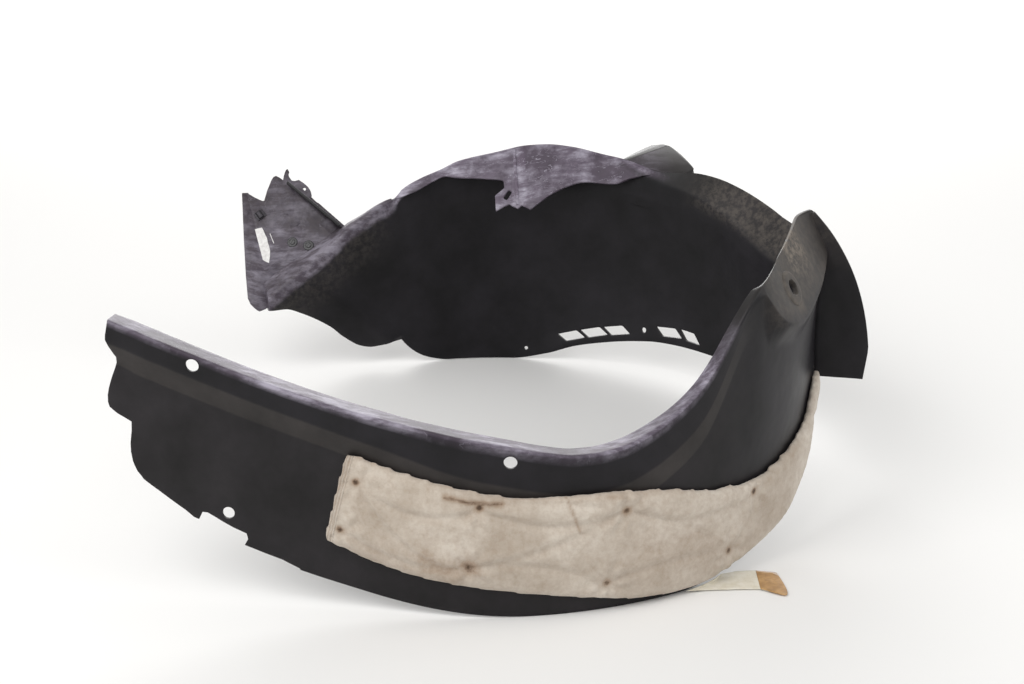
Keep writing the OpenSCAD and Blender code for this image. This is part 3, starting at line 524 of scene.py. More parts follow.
def polypropylene():
    # injection moulded polypropylene: satin black with a fine grain, dust and a painted reflection on what
    # faces up, pale scuffs on the folds, painted highlights at the boss and painted reflections on the lip
    # and the step
    look = mouldedLook
    m = newMaterial("mouldedPolypropylene")
    where = add(m, "TexCoord").outputs["Object"]
    facing = add(m, "SeparateXYZ", {}, {0: add(m, "NewGeometry").outputs["Normal"]}).outputs["Z"]
    wiped = add(m, "Mapping", {"Rotation": (0, 0, 0.2), "Scale": (1, 4.5, 2.5)}, {"Vector": where})
    drawn = add(m, "Mapping", {"Rotation": (0.6, 0.8, 0.5), "Scale": (1, 5, 1)}, {"Vector": where})
    patches, specks, grain, waves, streaks, lines = (
        add(m, "TexNoise", {"Scale": perMm(look[size]), "Detail": detail, "Roughness": rough,
                            "Distortion": twist}, {0: at})
        for size, detail, rough, twist, at in (
            ("patch", 6, 0.62, 0, where), ("speck", 7, 0.7, 0, where), ("grain", 2, 0.5, 0, where),
            ("wave", 2, 0.5, 0, where), ("streak", 6, 0.65, 0, wiped), ("scrape", 3, 0.5, 0.8, drawn)))
    dusty, paintedSheenMask, rubAndSheenMask = (add(m, "Attribute", {"attribute_name": name}).outputs["Fac"]
                              for name in ("dust", "bloom", "rub"))
    tone, cloudy, chafeAndSheen, chalk, blotch, powder, hairline, upward = (
        add(m, "ValToRGB", {"stops": stops}, {0: source}) for source, stops in (
            (patches, [(0.35, 0), (0.7, 1)]), (patches, [(0.3, 0.3), (0.72, 1)]),
            (patches, [(0.3, 0.35), (0.6, 0.85)]), (patches, [(0.4, 0), (0.6, 0.9)]),
            (specks, [(0.42, 0.1), (0.6, 1)]), (streaks, [(0.42, 0.12), (0.6, 1)]),
            (lines, [(0.56, 0), (0.566, 0.5), (0.574, 0), (0.6, 0)]), (facing, [(0.3, 0), (0.95, 0.16)])))
    topDustAndSheen, smear, bloom, hazeAndSheen = (
        add(m, "Math", {"operation": "MULTIPLY"}, {0: amount, 1: pattern}) for amount, pattern in (
            (upward, cloudy), (dusty, blotch), (paintedSheenMask, cloudy), (chalk, powder)))
    # dust and painted sheen: a thin film on what faces up, partly dust and partly a painted reflection,
    # blotches where dust has gathered, and painted highlights and reflections near the boss and on the near
    # limb's step
    dustAndSheenVeil = topDustAndSheen
    for more in (smear, bloom):
        dustAndSheenVeil = add(m, "Math", {"operation": "ADD", "use_clamp": True}, {0: dustAndSheenVeil, 1: more})
    # scuffs and painted reflection: rubbed plastic turns purple-grey, with a chalky haze and a few
    # hairlines on it; on the lip the same tones are a painted reflection, and on the fold, crease and bead
    # partly one
    scuffsAndSheen = add(m, "Math", {"operation": "MAXIMUM"}, {0: hazeAndSheen, 1: hairline})
    chafeAndSheen, scuffsAndSheen = (add(m, "Math", {"operation": "MULTIPLY", "use_clamp": True}, {0: amount, 1: rubAndSheenMask})
                    for amount in (chafeAndSheen, scuffsAndSheen))
    base = add(m, "Mix", {"data_type": "RGBA", 6: colour(look["black"]), 7: colour(look["faded"])},
               {0: tone})
    for shade, amount in (("dust", dustAndSheenVeil), ("chafedAndSheen", chafeAndSheen), ("hazeAndSheen", scuffsAndSheen)):
        base = add(m, "Mix", {"data_type": "RGBA", 7: colour(look[shade])}, {0: amount, 6: base})
    rough = add(m, "MapRange", {"To Min": look["smoothest"], "To Max": look["roughest"]}, {0: patches})
    dull = add(m, "Math", {"operation": "MULTIPLY_ADD", 1: look["dustDulls"]}, {0: dustAndSheenVeil, 2: rough})
    fine = add(m, "Bump", {"Strength": 0.12, "Distance": look["grainDepth"] * mm}, {"Height": grain})
    uneven = add(m, "Bump", {"Strength": 0.35, "Distance": look["waveDepth"] * mm},
                 {"Height": waves, "Normal": fine})
    shader = add(m, "BsdfPrincipled", {"IOR": look["ior"], "Specular IOR Level": look["specular"]},
                 {"Base Color": base, "Roughness": dull, "Normal": uneven})
    add(m, "OutputMaterial", {}, {0: shader})
    return m


feltLook = dict(clean="#d3c9bc", shade="#b3a697", stain="#8a6c50", dark="#3f3026", fibre=1.1, tuft=7,
                cloud=60, pressLine=3.2, pressBand=11, pressFade=1.5, fibreDepth=0.7, tuftDepth=2,
                pressDepth=0.8, roughness=0.95, specular=0.15, sheen=0.2, sheenRoughness=0.6)


def needleFelt():
    # needle-punched polyester felt: matt, off-white, linty, brown where damp dirt has soaked in
    look = feltLook
    m = newMaterial("needlePunchedFelt")
    where = add(m, "TexCoord").outputs["Object"]
    cloud, tuft, lint = (
        add(m, "TexNoise", {"Scale": perMm(look[size]), "Detail": detail, "Roughness": rough}, {0: where})
        for size, detail, rough in (("cloud", 6, 0.6), ("tuft", 5, 0.7), ("fibre", 3, 0.8)))
    soiled, fromEdge = (add(m, "Attribute", {"attribute_name": name}).outputs["Fac"]
                        for name in ("soil", "selvedge"))
    # pressed lines beside the short edge
    turns = add(m, "Math", {"operation": "MULTIPLY", 1: 2 * math.pi / look["pressLine"]}, {0: fromEdge})
    wave = add(m, "Math", {"operation": "SINE"}, {0: turns})
    beside = add(m, "MapRange", {"From Min": look["pressBand"],
                                 "From Max": look["pressBand"] - look["pressFade"]}, {0: fromEdge})
    press = add(m, "Math", {"operation": "MULTIPLY"}, {0: wave, 1: beside})
    patchy, hollow, groove, uneven = (
        add(m, "ValToRGB", {"stops": stops}, {0: source}) for source, stops in (
            (cloud, [(0.35, 0), (0.68, 1)]), (tuft, [(0.3, 0.3), (0.6, 0)]), (press, [(0.2, 0), (1, 0.4)]),
            (tuft, [(0.25, 1), (0.75, 0.55)])))
    soil = add(m, "Math", {"operation": "MULTIPLY", "use_clamp": True}, {0: soiled, 1: uneven})
    deep = add(m, "ValToRGB", {"stops": [(0.55, 0), (1, 0.85)]}, {0: soil})
    base = add(m, "Mix", {"data_type": "RGBA", 6: colour(look["clean"]), 7: colour(look["shade"])},
               {0: patchy})
    for shade, amount in (("stain", hollow), ("stain", groove), ("stain", soil), ("dark", deep)):
        base = add(m, "Mix", {"data_type": "RGBA", 7: colour(look[shade])}, {0: amount, 6: base})
    fine = add(m, "Bump", {"Strength": 0.55, "Distance": look["fibreDepth"] * mm}, {"Height": lint})
    lumps = add(m, "Bump", {"Strength": 0.5, "Distance": look["tuftDepth"] * mm},
                {"Height": tuft, "Normal": fine})
    ridged = add(m, "Bump", {"Strength": 0.6, "Distance": look["pressDepth"] * mm, "invert": True},
                 {"Height": press, "Normal": lumps})
    shader = add(m, "BsdfPrincipled",
                 {"Roughness": look["roughness"], "Specular IOR Level": look["specular"],
                  "Sheen Weight": look["sheen"], "Sheen Roughness": look["sheenRoughness"]},
                 {"Base Color": base, "Normal": ridged})
    add(m, "OutputMaterial", {}, {0: shader})
    return m


def plainFinish(name, main, second, roughness, scale, relief, metallic=0.0):
    # two close tones in blotches of one size, with a slight relief and a slightly uneven gloss
    m = newMaterial(name)
    where = add(m, "TexCoord").outputs["Object"]
    mottle = add(m, "TexNoise", {"Scale": perMm(scale), "Detail": 5, "Roughness": 0.65}, {0: where})
    tone = add(m, "ValToRGB", {"stops": [(0.35, 0), (0.7, 1)]}, {0: mottle})
    base = add(m, "Mix", {"data_type": "RGBA", 6: colour(main), 7: colour(second)}, {0: tone})
    rough = add(m, "MapRange", {"To Min": roughness - 0.07, "To Max": roughness + 0.07}, {0: mottle})
    bump = add(m, "Bump", {"Strength": 0.3, "Distance": relief * mm}, {"Height": mottle})
    shader = add(m, "BsdfPrincipled", {"Metallic": metallic},
                 {"Base Color": base, "Roughness": rough, "Normal": bump})
    add(m, "OutputMaterial", {}, {0: shader})
    return m


plastic = polypropylene()
felt = needleFelt()
nylon = plainFinish("mouldedNylon", "#151416", "#262427", 0.36, 3, 0.05)  # glossier than the sheet
springSteel = plainFinish("phosphatedSpringSteel", "#1d1c1e", "#3b373d", 0.42, 2, 0.04, 0.6)  # dull sparkle
rubber = plainFinish("extrudedRubber", "#121113", "#211f22", 0.68, 2.5, 0.08)  # matt, a faint chalky bloom
paper = plainFinish("creasedPaper", "#e8e3d6", "#d5cdb9", 0.8, 12, 0.25)  # chalky white, soft creases
agedTape = plainFinish("yellowedTape", "#c39a66", "#9b7446", 0.35, 10, 0.15)  # aged film, amber and glossy
labelPaper = plainFinish("tornPaperLabel", "#efedeb", "#d2cfcd", 0.6, 4, 0.1)  # matt white face paper
print("Materials made")


spacing = dict(near=60, crown=270, far=36, pastEnd=-1.02, corner=0.25, cornerStep=0.0018, cornerSteps=17)
flangeEnds = [0.8935, 0.8975]


def stationList():
    # every 5 mm along the arch, closer at the boss's corner and where the fold's flange ends
    near = [spacing["pastEnd"]] + [-1 + i / spacing["near"] for i in range(spacing["near"])]
    crown = [i / spacing["crown"] for i in range(spacing["crown"])]
    boss = [spacing["corner"] + spacing["cornerStep"] * i for i in range(spacing["cornerSteps"])]
    far = [1 + i / spacing["far"] for i in range(spacing["far"] + 1)]
    return sorted(set(near + crown + boss + far + flangeEnds))


unevenness = dict(wave=0.5, waveLength=95, ripple=0.18, rippleLength=34, endWrinkle=2.4, endFrom=-0.8,
                  wrinkleLengths=(11, 30, 26))


def sheetUneven(t, p):
    # a moulded sheet is never quite flat: long shallow waves, and wrinkles in its free end, in millimetres
    look = unevenness
    move = (look["wave"] * noise.noise(p / look["waveLength"])
            + look["ripple"] * noise.noise(p / look["rippleLength"]))
    if t < look["endFrom"]:
        loose = (look["endFrom"] - t) / (1 + look["endFrom"])
        wrinkle = noise.noise(Vector([a / b for a, b in zip(p, look["wrinkleLengths"])]))
        move += look["endWrinkle"] * loose * wrinkle
    return move


def addWall(mesh):
    outer, inner = [], []
    for t in stationList():
        rows = section(t)
        out = Vector((cosD(turnAt(t)), sinD(turnAt(t)), 0))
        faces = [[place(t, r.x, r.y) for r in side] for side in (rows, sidesteps(rows, -s.sheet))]
        drift = [out * sheetUneven(t, v) for v in faces[0]]
        outer.append([v + d for v, d in zip(faces[0], drift)])
        inner.append([v + d for v, d in zip(faces[1], drift)])
    addSheet(mesh, outer, inner)


openings = dict(lipHole=13, lipFar=(233, -1.96, 247.4), lipNear=(-68.9, -8.36, 163), lipTurn=1.215,
                tabHole=(208.5, -4, 93), tabHoleSize=12, windowLean=13, windowHeight=12,
                windowCorner=2.2, windowRise=15.5, bossHole=17, ventHole=7, drainShare=0.7, depth=44,
                limbBack=14, wallBack=22)
# vent windows: station, width and slope
windows = [(0.828, 27, -0.3), (0.804, 28, -0.27), (0.7795, 28, -0.22), (0.7205, 31, -0.11),
           (0.695, 24, 0.04)]
# what is cut from the near limb's ragged end, as length and height, and from the end of the fold's flange
endOutline = [(340, 300), (313.4, 300), (313.4, 286), (316.3, 274), (316.8, 269), (314.6, 261),
              (311.2, 253), (309.4, 250), (309.9, 244), (315, 230), (319, 218), (320.6, 211),
              (320.8, 204), (319.5, 199), (312, 193), (298.6, 185), (299.2, 176), (301.3, 163),
              (301.8, 153), (300.7, 144), (297, 133), (292, 124), (280, 114), (266, 104), (251, 94),
              (243, 87.5), (238, 85.5), (234.5, 93), (229, 92.5), (221.5, 88.5), (213, 83.5), (203, 78),
              (191, 72.5), (189.6, 67), (193, 61), (174, 54), (156, 48), (138, 39.5), (138, -20),
              (340, -20)]
flangeEnd = [(88.5, 1), (98.7, 17.7), (125, 17.7), (125, -31), (100, -31), (91.1, -16.1), (95.4, -11)]


def addSlot(mesh):
    addPrism(mesh, roundCorners(rectangle(-7, -3, 7, 3), 2.6), -8, 12,
             flangeFrame @ shift(76, 3, 0) @ turn(z=30))


def addOpenings(mesh):
    # all that is cut from the sheet, in one cutter
    deep, half, back = openings["depth"], openings["limbBack"], s.radius - openings["wallBack"]
    addPrism(mesh, endOutline, 0, deep, nearFrame @ shift(0, half, 0) @ turn(x=90))
    for spot, size, angle in ((openings["lipFar"], openings["lipHole"], openings["lipTurn"]),
                              (openings["lipNear"], openings["lipHole"], openings["lipTurn"]),
                              (openings["tabHole"], openings["tabHoleSize"], 0)):
        addLathe(mesh, [(size / 2, -half), (size / 2, half)],
                 nearFrame @ shift(*spot) @ turn(x=-90, z=angle), 48)
    lean, high = openings["windowLean"], openings["windowHeight"]
    for t, width, slope in windows:
        shape = [(-(width + lean) / 2, -high / 2), ((width - lean) / 2, -high / 2),
                 ((width + lean) / 2, high / 2), (-(width - lean) / 2, high / 2)]
        shape = roundCorners([(x, y + slope * x) for x, y in shape], openings["windowCorner"])
        addPrism(mesh, shape, 0, deep, archFrame(turnAt(t))
                 @ shift(back, 0, along("edge", t) + openings["windowRise"]) @ turn(x=90, z=90))
    for t, z, size in ((0.7494, s.ventEdge + 12, openings["ventHole"]),
                       (0.875, 15, openings["drainShare"] * openings["ventHole"])):
        addLathe(mesh, [(size / 2, 0), (size / 2, deep)],
                 archFrame(turnAt(t)) @ shift(back, 0, z) @ turn(y=90))
    addLathe(mesh, [(openings["bossHole"] / 2, -24), (openings["bossHole"] / 2, 16)], bossFrame, 48)
    addPrism(mesh, flangeEnd, -6, 10, flangeFrame)
    addSlot(mesh)


# the fin's outline: a straight foot up to the shoulder, then a curve pulled out towards pull
fin = dict(rows=30, columns=10, bow=1.2, bowLengths=(24, 40), foot=8, footIn=4, root=1.5, shoulder=0.15,
           shoulderDrop=152, pullReach=0.8, pullDrop=58, tipIn=21, tipDrop=2)


def addFin(mesh):
    t = stationOf(s.finTurn)
    top, low = topHeight(t), s.finEdge + fin["foot"]
    foot, shoulder, pull, tip = (Vector(p) for p in (
        (s.finReach - fin["footIn"], low), (s.finReach, top - fin["shoulderDrop"]),
        (fin["pullReach"] * s.finReach, top - fin["pullDrop"]), (-fin["tipIn"], top)))
    frameOf = archFrame(s.finTurn) @ shift(s.radius, 0, 0)
    share = fin["shoulder"]
    front, back = [], []
    for i in range(fin["rows"] + 1):
        v = i / fin["rows"]
        z = low + (top - fin["tipDrop"] - low) * v
        inner = Vector((wallOut(t, z) - fin["root"], z))
        outer = (foot.lerp(shoulder, v / share) if v < share
                 else bend(shoulder, pull, tip, (v - share) / (1 - share)))
        line = [inner.lerp(outer, k / fin["columns"]) for k in range(fin["columns"] + 1)]
        across, up = fin["bowLengths"]
        bow = [fin["bow"] * noise.noise(Vector((p.x / across, 3, p.y / up))) for p in line]
        for grid, side in ((front, -s.sheet / 2), (back, s.sheet / 2)):
            grid.append([frameOf @ Vector((p.x, b + side, p.y)) for p, b in zip(line, bow)])
    addSheet(mesh, front, back)


# the hollow goes reach deeper than the outside, and the blister overlaps the sheet by rimIn and footIn
blister = dict(rounding=5, reach=14, rimIn=1.6, footIn=0.4)


def makeBlister():
    # hollow blister behind the crown's fold, open below
    def rim(angle):
        return along("topOut", stationOf(angle)) - blister["rimIn"]

    def shape(e, reach):
        # corners as turn, reach and height, drawn in by e for the hollow
        foot = e - blister["footIn"]
        return [polar(*p) for p in (
            (61.3 - e / 10, 60 - e, 298 - e), (58.6, 60 - e, 302 - e), (63.9 - e / 6, 60 - e, 288 - e),
            (55.4 + e / 6, 60 - e, 286 - e), (65.5 - e / 6, 40, 281 - e), (50.8 + e / 5, 40, 277 - e),
            (65 - e / 6, rim(65) + 2 * e, 284 - e), (52 + e / 6, rim(52) + 2 * e, 271 - e),
            (58.5, rim(58.5) + 2 * e, 277 - e), (63 - e / 6, 56 - e, 262 - reach),
            (55 + e / 6, 56 - e, 256 - reach), (64 - e / 6, foot, 228 - reach),
            (53 + e / 6, foot, 222 - reach))]

    made = []
    for e, reach in ((0, 0), (s.sheet, blister["reach"])):
        hull = bmesh.new()
        points = [hull.verts.new(p) for p in shape(e, reach)]
        out = bmesh.ops.convex_hull(hull, input=points)
        spare = [v for v in out["geom_interior"] if isinstance(v, bmesh.types.BMVert)]
        bmesh.ops.delete(hull, geom=spare, context="VERTS")
        bmesh.ops.dissolve_limit(hull, angle_limit=0.03, verts=hull.verts, edges=hull.edges)
        made.append(makeObject("blisterPart", hull))
    soften(made[0], blister["rounding"], 5, 20)
    cut(made[0], made[1])
    return made[0]


# the tab at the end of the fold's flange, and its two ribs: x, y, turn and length
tab = [(48, -6), (54, 7), (66, 8), (77, 19.7), (98.7, 17.7), (88.5, 1), (91.5, -6)]
ribLines = ((11, -5.2, -5.4, 80), (22, -18.7, -8.5, 74))
rib = dict(width=4, corner=1.9, root=-3, height=1.5)


def addTab(mesh):
    addPrism(mesh, roundCorners(tab, 1.5), 0, s.sheet, flangeFrame)


def addRibs(mesh):
    for x, y, angle, length in ribLines:
        addPrism(mesh, roundCorners(rectangle(0, 0, length, rib["width"]), rib["corner"]), rib["root"],
                 rib["height"], flangeFrame @ shift(x, y, 0) @ turn(z=angle))


# the raised ring round the boss's hole, as radius and height
bossRing = [(8.5, -3), (8.5, 1.2), (9.2, 2), (14.5, 2), (16.2, 1.7), (17.6, 1), (19, 0.1), (19, -2.8)]


def addBossRing(mesh):
    addLathe(mesh, bossRing, bossFrame, 56, False)


# the end pocket: outlines of its panels, and creases pressed into its floor
pocketFloor = [(-1, -4), (-1, 4), (23, 62), (46, 121), (48.5, 117), (51.5, 109), (55, 102), (57, 98.4),
               (59, 97), (70, 106), (84, 115), (88, 116.6), (92, 116), (94.4, 110.5), (96, 105),
               (100, 109), (105, 113), (108, 114.4), (110, 114), (109.4, 110), (106.4, 107.5),
               (105, 104), (105, 97), (108, 94), (113, 92), (115.6, 84), (117, 76), (116.5, 70),
               (114, 64), (110, 60), (113, 53), (115, 49), (124, 2), (124, -4)]
pocketEnd = [(130.7, 6.5), (99.7, 12.6), (66.1, 19.3), (41, 23.9), (16.1, 28.5), (-15.6, 33.4),
             (-24, 31.8), (-29.5, 28.7), (-34.5, 25), (-36.5, 22.3), (-35, 14), (-31.5, 7), (-4, -2),
             (129.3, -2)]
pocketSide = [(-2.5, s.tip - 13), (-0.5, s.tip), (25, s.tip + 12), (26, s.tip + 15), (26, s.tip - 2),
              (12, s.tip - 14), (4, s.tip - 16)]
pocketCreases = [((99, 94), (73, 61)), ((73, 61), (73, 41)), ((99, 78), (110, 4)), ((73, 41), (40, 6))]
creaseShape = [(-11, -0.5), (11, -0.5), (1.5, 0.9), (-1.5, 0.9)]
rivetSpots = [(55.5, 26), (70, 9)]
pocketHoles = [(*spot, 3.5) for spot in rivetSpots] + [(111, 77, 2.5)]
clipHole = (38.5, 81.5, 47.1, 87.1)


def addPocketFloor(mesh):
    addPrism(mesh, pocketFloor, -s.sheet, 0, pocketFrame)


def addPocketHoles(mesh):
    for x, y, radius in pocketHoles:
        addLathe(mesh, [(radius, -12), (radius, 8)], pocketFrame @ shift(x, y, 0))
    addPrism(mesh, rectangle(*clipHole), -12, 8, pocketFrame)


def addPocketPanels(mesh):
    # the end panel, the ridge that the seal grips, the panel by the far limb, and low roof-shaped creases
    addPrism(mesh, pocketEnd, -s.sheet, 0, pocketEndFrame)
    addPrism(mesh, rectangle(0, -2, 96, 0), -2, 12, ridgeFrame)
    addPrism(mesh, pocketSide, 0, s.sheet, farFrame @ turn(x=90, z=90))
    for (x1, y1), (x2, y2) in pocketCreases:
        length, angle = math.hypot(x2 - x1, y2 - y1), math.degrees(math.atan2(y2 - y1, x2 - x1))
        addPrism(mesh, creaseShape, 0, length,
                 pocketFrame @ shift(x1, y1, 0) @ turn(z=angle) @ turn(x=90, z=90))


# moulded stakes that hold the felt: length and height on the near limb, turn and height on the arch
stakes = dict(near=[(78, 139), (95, 88)],
              arch=[(-91.8, 120), (-93.4, 59), (-70.1, 107), (-73, 33), (-46.2, 90), (-51.2, 34)],
              shank=3, head=6.5, dimple=6, overlap=0.4)


def stakePlaces():
    return [nearFrame @ shift(x, wallOut(-x / s.nearLength, z), z) @ turn(x=-90)
            for x, z in stakes["near"]] + [
        archFrame(a) @ shift(s.radius + wallOut(stationOf(a), z), 0, z) @ turn(y=90)
        for a, z in stakes["arch"]]


def addStakes(mesh):
    top = s.padGap + s.padThick - stakes["dimple"] + stakes["overlap"]
    shank, head = stakes["shank"], stakes["head"]
    profile = [(shank, -1.5), (shank, top), (head, top), (head - 0.2, top + 1), (head - 2, top + 1.5)]
    for spot in stakePlaces():
        addLathe(mesh, profile, spot, 28)


edgeRounding = dict(wall=0.6, detail=0.8)


def makeShell():
    # the moulding's parts, softened and joined, and the number of points in its ribs, which come last
    wall, floor, tabPart = built("wall", addWall), built("floor", addPocketFloor), built("tab", addTab)
    cut(wall, built("openings", addOpenings), "FAST")
    cut(tabPart, built("slot", addSlot))
    cut(floor, built("holes", addPocketHoles))
    parts = [wall, built("fin", addFin), tabPart, built("stakes", addStakes), built("ring", addBossRing),
             makeBlister(), floor, built("panels", addPocketPanels), built("ribs", addRibs)]
    for part in parts:
        soften(part, edgeRounding["wall" if part is wall else "detail"], 2, 50)
    ribPoints = len(parts[-1].data.vertices)
    return join(parts, "moulding"), ribPoints


shell, ribPoints = makeShell()
smooth(shell)
finishPiece(shell, plastic, "moulding", "liner_shell")

# how strong each mark is, and where it lies: it rises between the first two values, which are stations or
# millimetres, and falls between the last two
# some of these marks are painted light: highlights on the boss and its ring, reflections on the boss's
# face, the lip, the near limb's step and wall, and partly on the fold, crease and bead
wear = dict(crownDust=0.3, cornerDust=1.0, bossDustAndSheen=0.2, bossStreak=0.85, limbDust=0.12, pocketDust=0.12,
            ringHighlight=0.5, bossHighlight=0.18, stepReflection=0.15, wallReflection=0.04, foldRubAndSheen=1.35, creaseRubAndHighlight=1.35,
            ribRub=2.2, ribTopRub=2.4, beadRubAndSheen=0.5, lipReflection=0.85, pocketRub=0.3)
spans = dict(crownDust=(0.39, 0.44, 0.66, 0.72), cornerDust=(0.42, 0.445, 0.48, 0.51),
             bossDustAndSheen=(0.25, 0.28, 0.37, 0.42), bossStreak=(0.315, 0.33, 0.355, 0.375),
             bossHighlight=(0.25, 0.27, 0.4, 0.42), foldRubAndSheen=(0.74, 0.77, 0.97, 1.0),
             creaseRubAndHighlight=(0.72, 0.76, 1.0, 1.1), limb=(1.0, 1.3), bead=(1.02, 1.1), pocket=(1.99, 2.02),
             ring=(13, 15.5, 18, 20), ringDepth=(-3, -1, 4, 6), ribSide=(-23, -18, -4, 1),
             ribLength=(6, 16, 96, 104), ribDepth=(5, 9))


def markWear():
    # dust (on the boss's face partly a painted reflection), painted highlights and reflections, and rub (on
    # the lip a painted reflection, on the fold, crease and bead partly one) at each point of the moulding,
    # by station, height and distance from a detail
    places = pointsOf(shell)
    t, out = stationsOf(places)
    z = places[:, 2]
    spread = np.linspace(-1.05, 2.05, 400)
    tops, creases, feet = (
        np.interp(t, spread, [topHeight(v) - sum(along(name, v) for name in names) for v in spread])
        for names in ((), ("band",), ("band", "step")))
    nearLimb = 1 - fade(t, 0.2, 0.26)
    underStep = 1 - fade(z, feet - 1, feet + 2)
    onBoss, onFlange = (np.array([spot.inverted() @ Vector(p) for p in places])
                        for spot in (bossFrame, flangeFrame))

    def belowTop(low, high):
        return fade(z, tops - low, tops - high)

    def within(name, values=t):
        return window(values, *spans[name])

    pocket = fade(t, *spans["pocket"])
    marks = dict(
        dust=dict(crownDust=within("crownDust") * belowTop(42, 26),
                  cornerDust=within("cornerDust") * belowTop(40, 26),
                  # the boss's face made lighter: dust and a painted reflection
                  bossDustAndSheen=within("bossDustAndSheen") * fade(z, 235, 275),
                  bossStreak=within("bossStreak") * fade(z, 278, 300),
                  pocketDust=pocket,
                  limbDust=fade(t, *spans["limb"]) * belowTop(90, 30)),
        # painted highlights on the boss's ring and upper face, painted reflections on the near limb's step
        # and wall
        bloom=dict(ringHighlight=within("ring", np.hypot(onBoss[:, 0], onBoss[:, 1]))
                   * within("ringDepth", onBoss[:, 2]),
                   bossHighlight=within("bossHighlight") * fade(z, 262, 272),
                   stepReflection=nearLimb * (1 - underStep) * (1 - fade(z, creases - 3, creases)),
                   wallReflection=nearLimb * underStep),
        # rub marks: the lip's is a painted reflection, and those on the fold, the crease and the bead are
        # rub with a painted reflection
        rub=dict(ribRub=within("ribSide", onFlange[:, 1]) * within("ribLength", onFlange[:, 0])
                 * (1 - fade(np.abs(onFlange[:, 2]), *spans["ribDepth"])),
                 foldRubAndSheen=within("foldRubAndSheen") * fade(-out, 3, 8) * belowTop(95, 70),
                 creaseRubAndHighlight=within("creaseRubAndHighlight") * belowTop(14, 6) * (1 - fade(out, 2, 6)),
                 beadRubAndSheen=fade(t, *spans["bead"]) * belowTop(22, 12),
                 lipReflection=(1 - fade(t, 0.2, 0.24)) * belowTop(6, 2),
                 pocketRub=pocket))
    for name, parts in marks.items():
        amount = np.maximum.reduce([wear[key] * part for key, part in parts.items()])
        if name == "rub":
            amount[-ribPoints:] = wear["ribTopRub"]
        setAttribute(shell, name, amount)


markWear()
print("Moulding made:", len(shell.data.polygons), "faces")

# felt pad: left gives the short edge's stations at its head and foot, right the station of its far end
pad = dict(left=(-0.282, -0.361), right=0.4, columns=24, crownColumns=110, rows=24, voxel=4.5, inset=1.2,
           slack=0.86, rounding=9, edgeShare=0.35, nearTaper=8, leastTaper=0.02, farTaper=60, back=0.3,
           pressure=4, frames=20, cap=5, quality=5, mass=0.3, heldDepth=3, heldRange=9, wave=1.0,
           waveLength=38, fuzz=0.35, lint=3, edgeLint=1.5, pucker=1.4, folds=7, foldShift=1.7, crease=3.9,
           ridge=0.5, ridgeAt=9, ridgeWidth=8, dimpleFloor=8.9, dimpleRise=4.8, over=1.2,
           tuftAt=(0.043, 137), tuftSize=6.5, tuftRise=2.6, soil=1.35, soilRange=4.3)
# creases that hang between neighbouring dimples: start, end (station, height), sag and depth in millimetres
padCreases = [((-0.25, 139), (0.03, 120), 20, 2.4), ((0.03, 119), (0.134, 107), 14, 2.8),
              ((0.134, 107), (0.249, 90), 15, 2.6), ((0.03, 119), (0.134, 107), -9, 1.8),
              ((-0.25, 139), (0.022, 59), 26, 1.9), ((-0.3, 88), (0.022, 59), 14, 2.0),
              ((0.022, 59), (0.12, 33), -12, 2.2), ((0.12, 33), (0.226, 34), -10, 2.0),
              ((0.022, 59), (0.134, 107), 6, 1.7), ((0.134, 107), (0.226, 36), -8, 1.5),
              ((0.249, 90), (0.37, 120), -12, 1.8)]
# stains: points (station, height), width in millimetres and strength
padStains = [([(0.006, 130), (0.026, 125), (0.045, 124)], 3, 1.0),
             ([(-0.03, 66), (-0.005, 60), (0.012, 52)], 13, 0.55),
             ([(0.054, 139), (0.058, 136)], 3, 1.4), ([(0.15, 60), (0.2, 50)], 26, 0.22),
             ([(-0.2, 60), (-0.1, 50)], 30, 0.2), ([(0.3, 119), (0.33, 138)], 5, 0.4),
             ([(0.022, 59), (0.023, 58)], 9, 1.1), ([(0.09, 129), (0.1, 90)], 1.6, 0.7),
             ([(-0.28, 167), (-0.06, 147), (0.05, 130), (0.16, 122), (0.25, 102)], 4, 0.3),
             ([(-0.285, 165), (-0.36, 73)], 7, 0.22)]


def padColumn(u, t):
    # outer and inner points of a column of the pad: u runs along the near limb, or t along the crown
    high = along("padTop", u * pad["left"][0] if t is None else t) - pad["inset"]
    low = along("padLow", u * pad["left"][1] if t is None else t) + pad["inset"]
    ends = ((1 - u) * pad["nearTaper"] + pad["leastTaper"] if t is None
            else (pad["right"] - t) * pad["farTaper"])
    outer, inner = [], []
    for k in range(pad["rows"] + 1):
        z = high + (low - high) * (0.5 - 0.5 * cosD(180 * k / pad["rows"]))
        f = (high - z) / (high - low)
        at = u * (pad["left"][0] + (pad["left"][1] - pad["left"][0]) * f) if t is None else t
        full = min(1, math.sqrt(max(min(min(high - z, z - low) / pad["rounding"], ends), 0)))
        thick = s.padThick * pad["slack"] * (pad["edgeShare"] + (1 - pad["edgeShare"]) * full)
        wall = wallOut(at, z) + s.padGap
        outer.append(place(at, wall + thick, z))
        inner.append(place(at, wall + pad["back"], z))
    return outer, inner


def addPad(mesh):
    columns = [(1 - i / pad["columns"], None) for i in range(pad["columns"])]
    columns += [(0, pad["right"] * i / pad["crownColumns"]) for i in range(pad["crownColumns"] + 1)]
    addSheet(mesh, *zip(*(padColumn(u, t) for u, t in columns)))


def makePad():
    made = built("feltPad", addPad)
    mod = made.modifiers.new("even", "REMESH")
    mod.mode = "VOXEL"
    mod.voxel_size = pad["voxel"] * mm
    bake(made)
    return made


def wallTable():
    # outer face of the wall on a grid of stations and heights, for many points at once
    stations, heights = np.linspace(-0.42, 0.45, 220), np.linspace(-2, 200, 102)
    table = []
    for v in stations:
        rows = section(v)[stepStart:]
        table.append(np.interp(heights, [r.y for r in rows][::-1], [r.x for r in rows][::-1]))
    return stations, heights, np.array(table)


